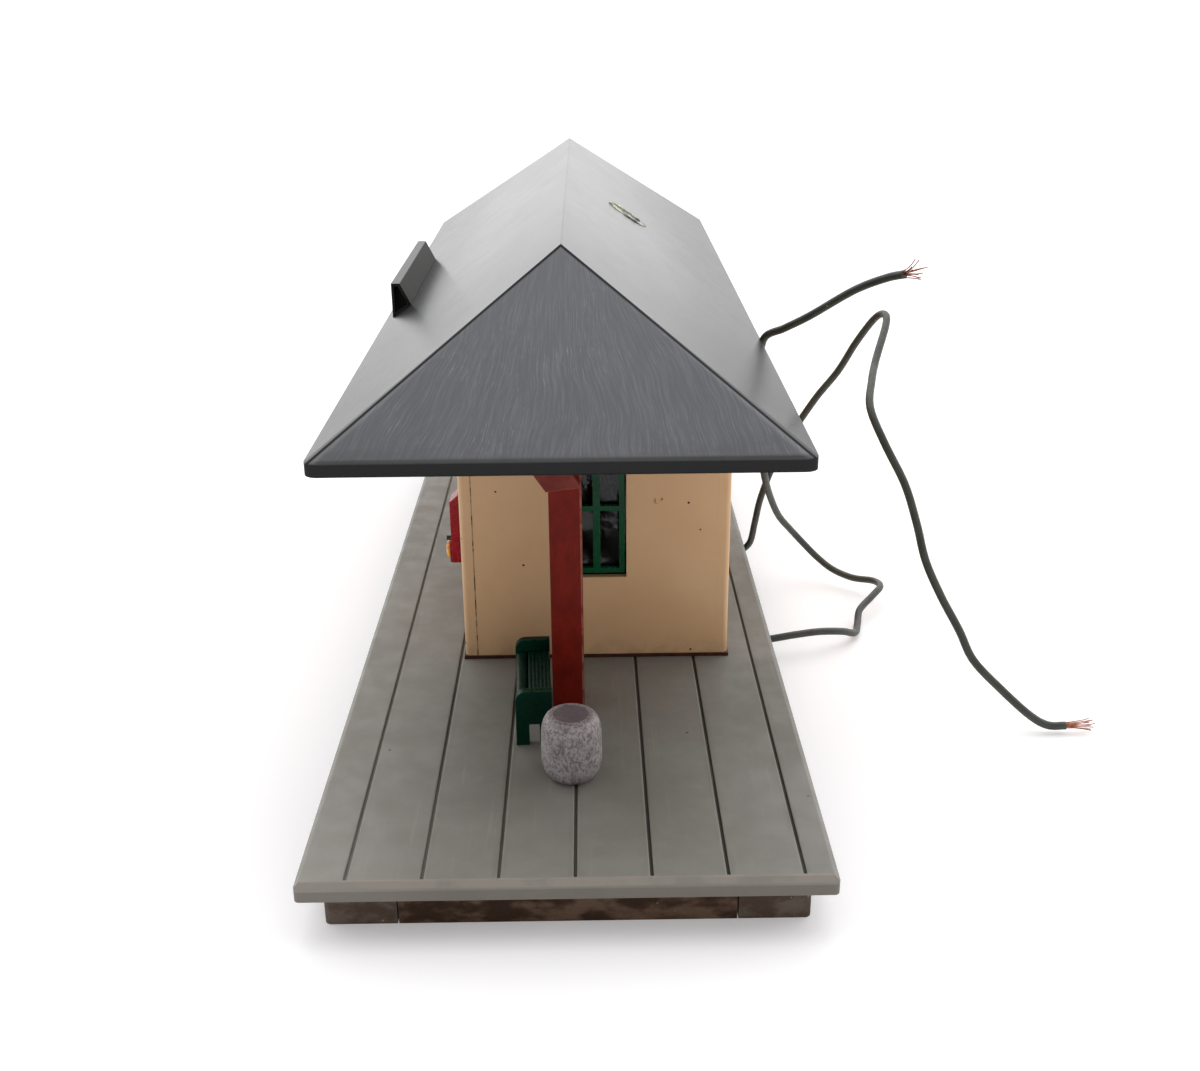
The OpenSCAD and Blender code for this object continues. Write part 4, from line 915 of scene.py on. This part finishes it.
makePiece("barrelBody", [barrelGrid(barrelFacts)], "station", ["barrel_body"])
makePiece("barrelLid", [lidGrid(barrelFacts)], "station", ["barrel_head"])
barrelPaint = paint("barrelPaint", {
    "colour": (0.33, 0.295, 0.295), "patchColour": (0.17, 0.14, 0.138), "patchScale": 1300.0,
    "patchStretch": (1, 1, 0.7), "patchLow": 0.42, "patchHigh": 0.62, "rough": (0.42, 0.62), "edge": 0.4 * mm,
    "edgeColour": (0.36, 0.34, 0.35), "edgeWearAndHighlight": 0.5, "grainScale": 1100.0, "grainHeight": 0.05 * mm,
    "speckColour": (0.05, 0.038, 0.04), "speckScale": 1800.0, "speckSize": 0.28, "speckShare": 0.3, "metal": 0.1,
    "dust": 0.15})


def addBarrelChalk(look):
    # Whitish rubbed patches below the shoulder, broken up by fine specks
    tree, axes = look["tree"], look["axes"]
    cloud = patches(look, 210.0, 0.46, 0.6, (1, 1, 0.7))
    fine = patches(look, 1400.0, 0.42, 0.58)
    belly = ramp(tree, axes[2], 28.5 * mm, 25 * mm)
    overlay(look, times(tree, cloud, fine, belly, 0.6), (0.5, 0.48, 0.49), 0.7)


addBarrelChalk(barrelPaint)
lidPaint = paint("lidPaint", {
    "colour": (0.15, 0.12, 0.13), "patchColour": (0.11, 0.088, 0.098), "patchScale": 150.0, "rough": (0.45, 0.6),
    "speckShare": 0.03, "dust": 0.1, "dustColour": (0.3, 0.28, 0.28)})
dress(barrelPaint, "barrelBody")
dress(lidPaint, "barrelLid")
print("bench and barrel finished")

# ---- Lamp and wiring ----

lampSteel = paint("lampSteel", {
    "colour": (0.52, 0.53, 0.54), "patchColour": (0.4, 0.4, 0.4), "patchScale": 200.0,
    "patchStretch": (1, 0.1, 1), "metal": 1.0, "rough": (0.25, 0.45), "edge": 0.2 * mm})
lampBrass = paint("lampBrass", {
    "colour": (0.58, 0.41, 0.15), "patchColour": (0.4, 0.26, 0.09), "patchScale": 260.0, "metal": 1.0,
    "rough": (0.2, 0.42), "edge": 0.15 * mm})
fibrePaint = paint("fibrePaint", {
    "colour": (0.22, 0.1, 0.05), "patchColour": (0.14, 0.06, 0.03), "patchScale": 700.0, "rough": (0.7, 0.9)})
rubberBlack = paint("rubberBlack", {
    "colour": (0.016, 0.016, 0.017), "patchColour": (0.028, 0.027, 0.027), "rough": (0.5, 0.7),
    "patchScale": 400.0, "edgeColour": (0.06, 0.06, 0.06)})
leadPaint = paint("leadPaint", {
    "colour": (0.024, 0.027, 0.02), "patchColour": (0.04, 0.043, 0.033), "patchScale": 140.0,
    "rough": (0.36, 0.52), "edge": 0.05 * mm, "grainScale": 1200.0, "grainHeight": 0.03 * mm, "speckShare": 0.04,
    "speckColour": (0.16, 0.15, 0.13), "dust": 0.08})
copperWire = paint("copperWire", {
    "colour": (0.5, 0.17, 0.08), "patchColour": (0.22, 0.07, 0.04), "patchScale": 900.0, "metal": 0.85,
    "rough": (0.3, 0.5), "edge": 0.02 * mm, "dust": 0.0, "speckShare": 0.0})
dress(lampSteel, "lamp_bracket", "bulb_filament")
dress(lampBrass, "socket_shell", "contact_plunger", "bulb_cap")
dress(fibrePaint, "socket_insulator")
dress(rubberBlack, "deck_grommet", "exit_grommets")
dress(leadPaint, "leadA", "leadB", "inner_lead_a", "inner_lead_b")
dress(copperWire, "strandsA", "strandsB")
bulbClear = clearMaterial("bulbClear", (0.95, 0.96, 0.97), 0.03, 0.03, 200.0, 0.004 * mm)
dress(bulbClear, "bulb_glass")

springFacts = {"centre": (7.5, 0), "radius": 1.85, "wire": 0.2, "turns": 4, "low": 38.72, "high": 41.28}


def springGrid(facts):
    # Helix whose end turns lie flatter than its middle
    t = np.linspace(0, 1, facts["turns"] * 28)
    a = 2 * np.pi * facts["turns"] * t
    rise = t - 0.35 * np.sin(2 * np.pi * t) / (2 * np.pi)
    z = facts["low"] + (facts["high"] - facts["low"]) * rise
    line = np.stack([facts["centre"][0] + facts["radius"] * np.cos(a), facts["radius"] * np.sin(a), z], -1)
    return mm * sweep(line, circle(facts["wire"], 10))


spring = makePiece("contactSpring", [springGrid(springFacts)], "station", ["contact_spring"])
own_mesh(spring)
springWire = paint("springWire", {
    "colour": (0.6, 0.6, 0.61), "patchColour": (0.5, 0.5, 0.5), "patchScale": 500.0, "metal": 1.0,
    "rough": (0.12, 0.25), "edge": 0.02 * mm, "speckShare": 0.0, "dust": 0.0})
dress(springWire, "contactSpring")
print("lamp and leads finished")

# ---- Studio ----

studio = {
    "floor": (0.88, 0.87, 0.88), "glow": 0.22, "behind": 1.7, "before": 0.4, "top": 4.0, "front": 1.7,
    "right": 0.8}


def makeFloor(facts):
    # Pale sheet with a few dust specks on it
    mesh = bpy.data.meshes.new("studioFloor")
    half = 4.0
    mesh.from_pydata([(-half, -half, 0), (half, -half, 0), (half, half, 0), (-half, half, 0)], [], [(0, 1, 2, 3)])
    floor = bpy.data.objects.new("studioFloor", mesh)
    stage.collection.objects.link(floor)
    material, tree, place = newMaterial("studioFloor")
    specks = use(tree, speckGroup, Vector=place, Scale=70.0, Size=0.03, Share=0.12)["Mask"]
    shader = put(tree, "BsdfPrincipled", Base_Color=mix(tree, specks, facts["floor"], (0.5, 0.46, 0.44)),
                 Roughness=0.8, Emission_Color=(1, 0.98, 0.99), Emission_Strength=facts["glow"])
    put(tree, "OutputMaterial", Surface=shader.outputs[0])
    mesh.materials.append(material)


def makeWorld(facts):
    # Light all round that grows from before the object to behind it
    world = bpy.data.worlds.new("studioWorld")
    world.use_nodes = True
    tree = world.node_tree
    tree.nodes.clear()
    way = split(tree, put(tree, "TexCoord").outputs["Generated"])
    strength = ramp(tree, way[1], -0.6, 0.6, facts["before"], facts["behind"])
    glow = put(tree, "Background", Color=(1, 1, 1), Strength=strength)
    put(tree, "OutputWorld", Surface=glow.outputs[0])
    stage.world = world


def makeLight(name, place, target, size, energy):
    data = bpy.data.lights.new(name, "AREA")
    data.shape = "RECTANGLE"
    data.size, data.size_y = size
    data.energy = energy
    light = bpy.data.objects.new(name, data)
    light.location = place
    light.rotation_euler = (Vector(target) - Vector(place)).to_track_quat("-Z", "Y").to_euler()
    stage.collection.objects.link(light)


makeFloor(studio)
makeLight("topLight", (0.1, 0.35, 1.1), (0, 0, 0.05), (1.4, 1.4), studio["top"])
makeLight("frontLight", (0.55, -1.3, 0.6), (0, -0.1, 0.06), (0.8, 0.6), studio["front"])
makeLight("rightLight", (1.2, -0.2, 0.6), (0, 0, 0.05), (0.8, 0.8), studio["right"])
makeWorld(studio)
stage.view_settings.view_transform = "Standard"
print("studio made")
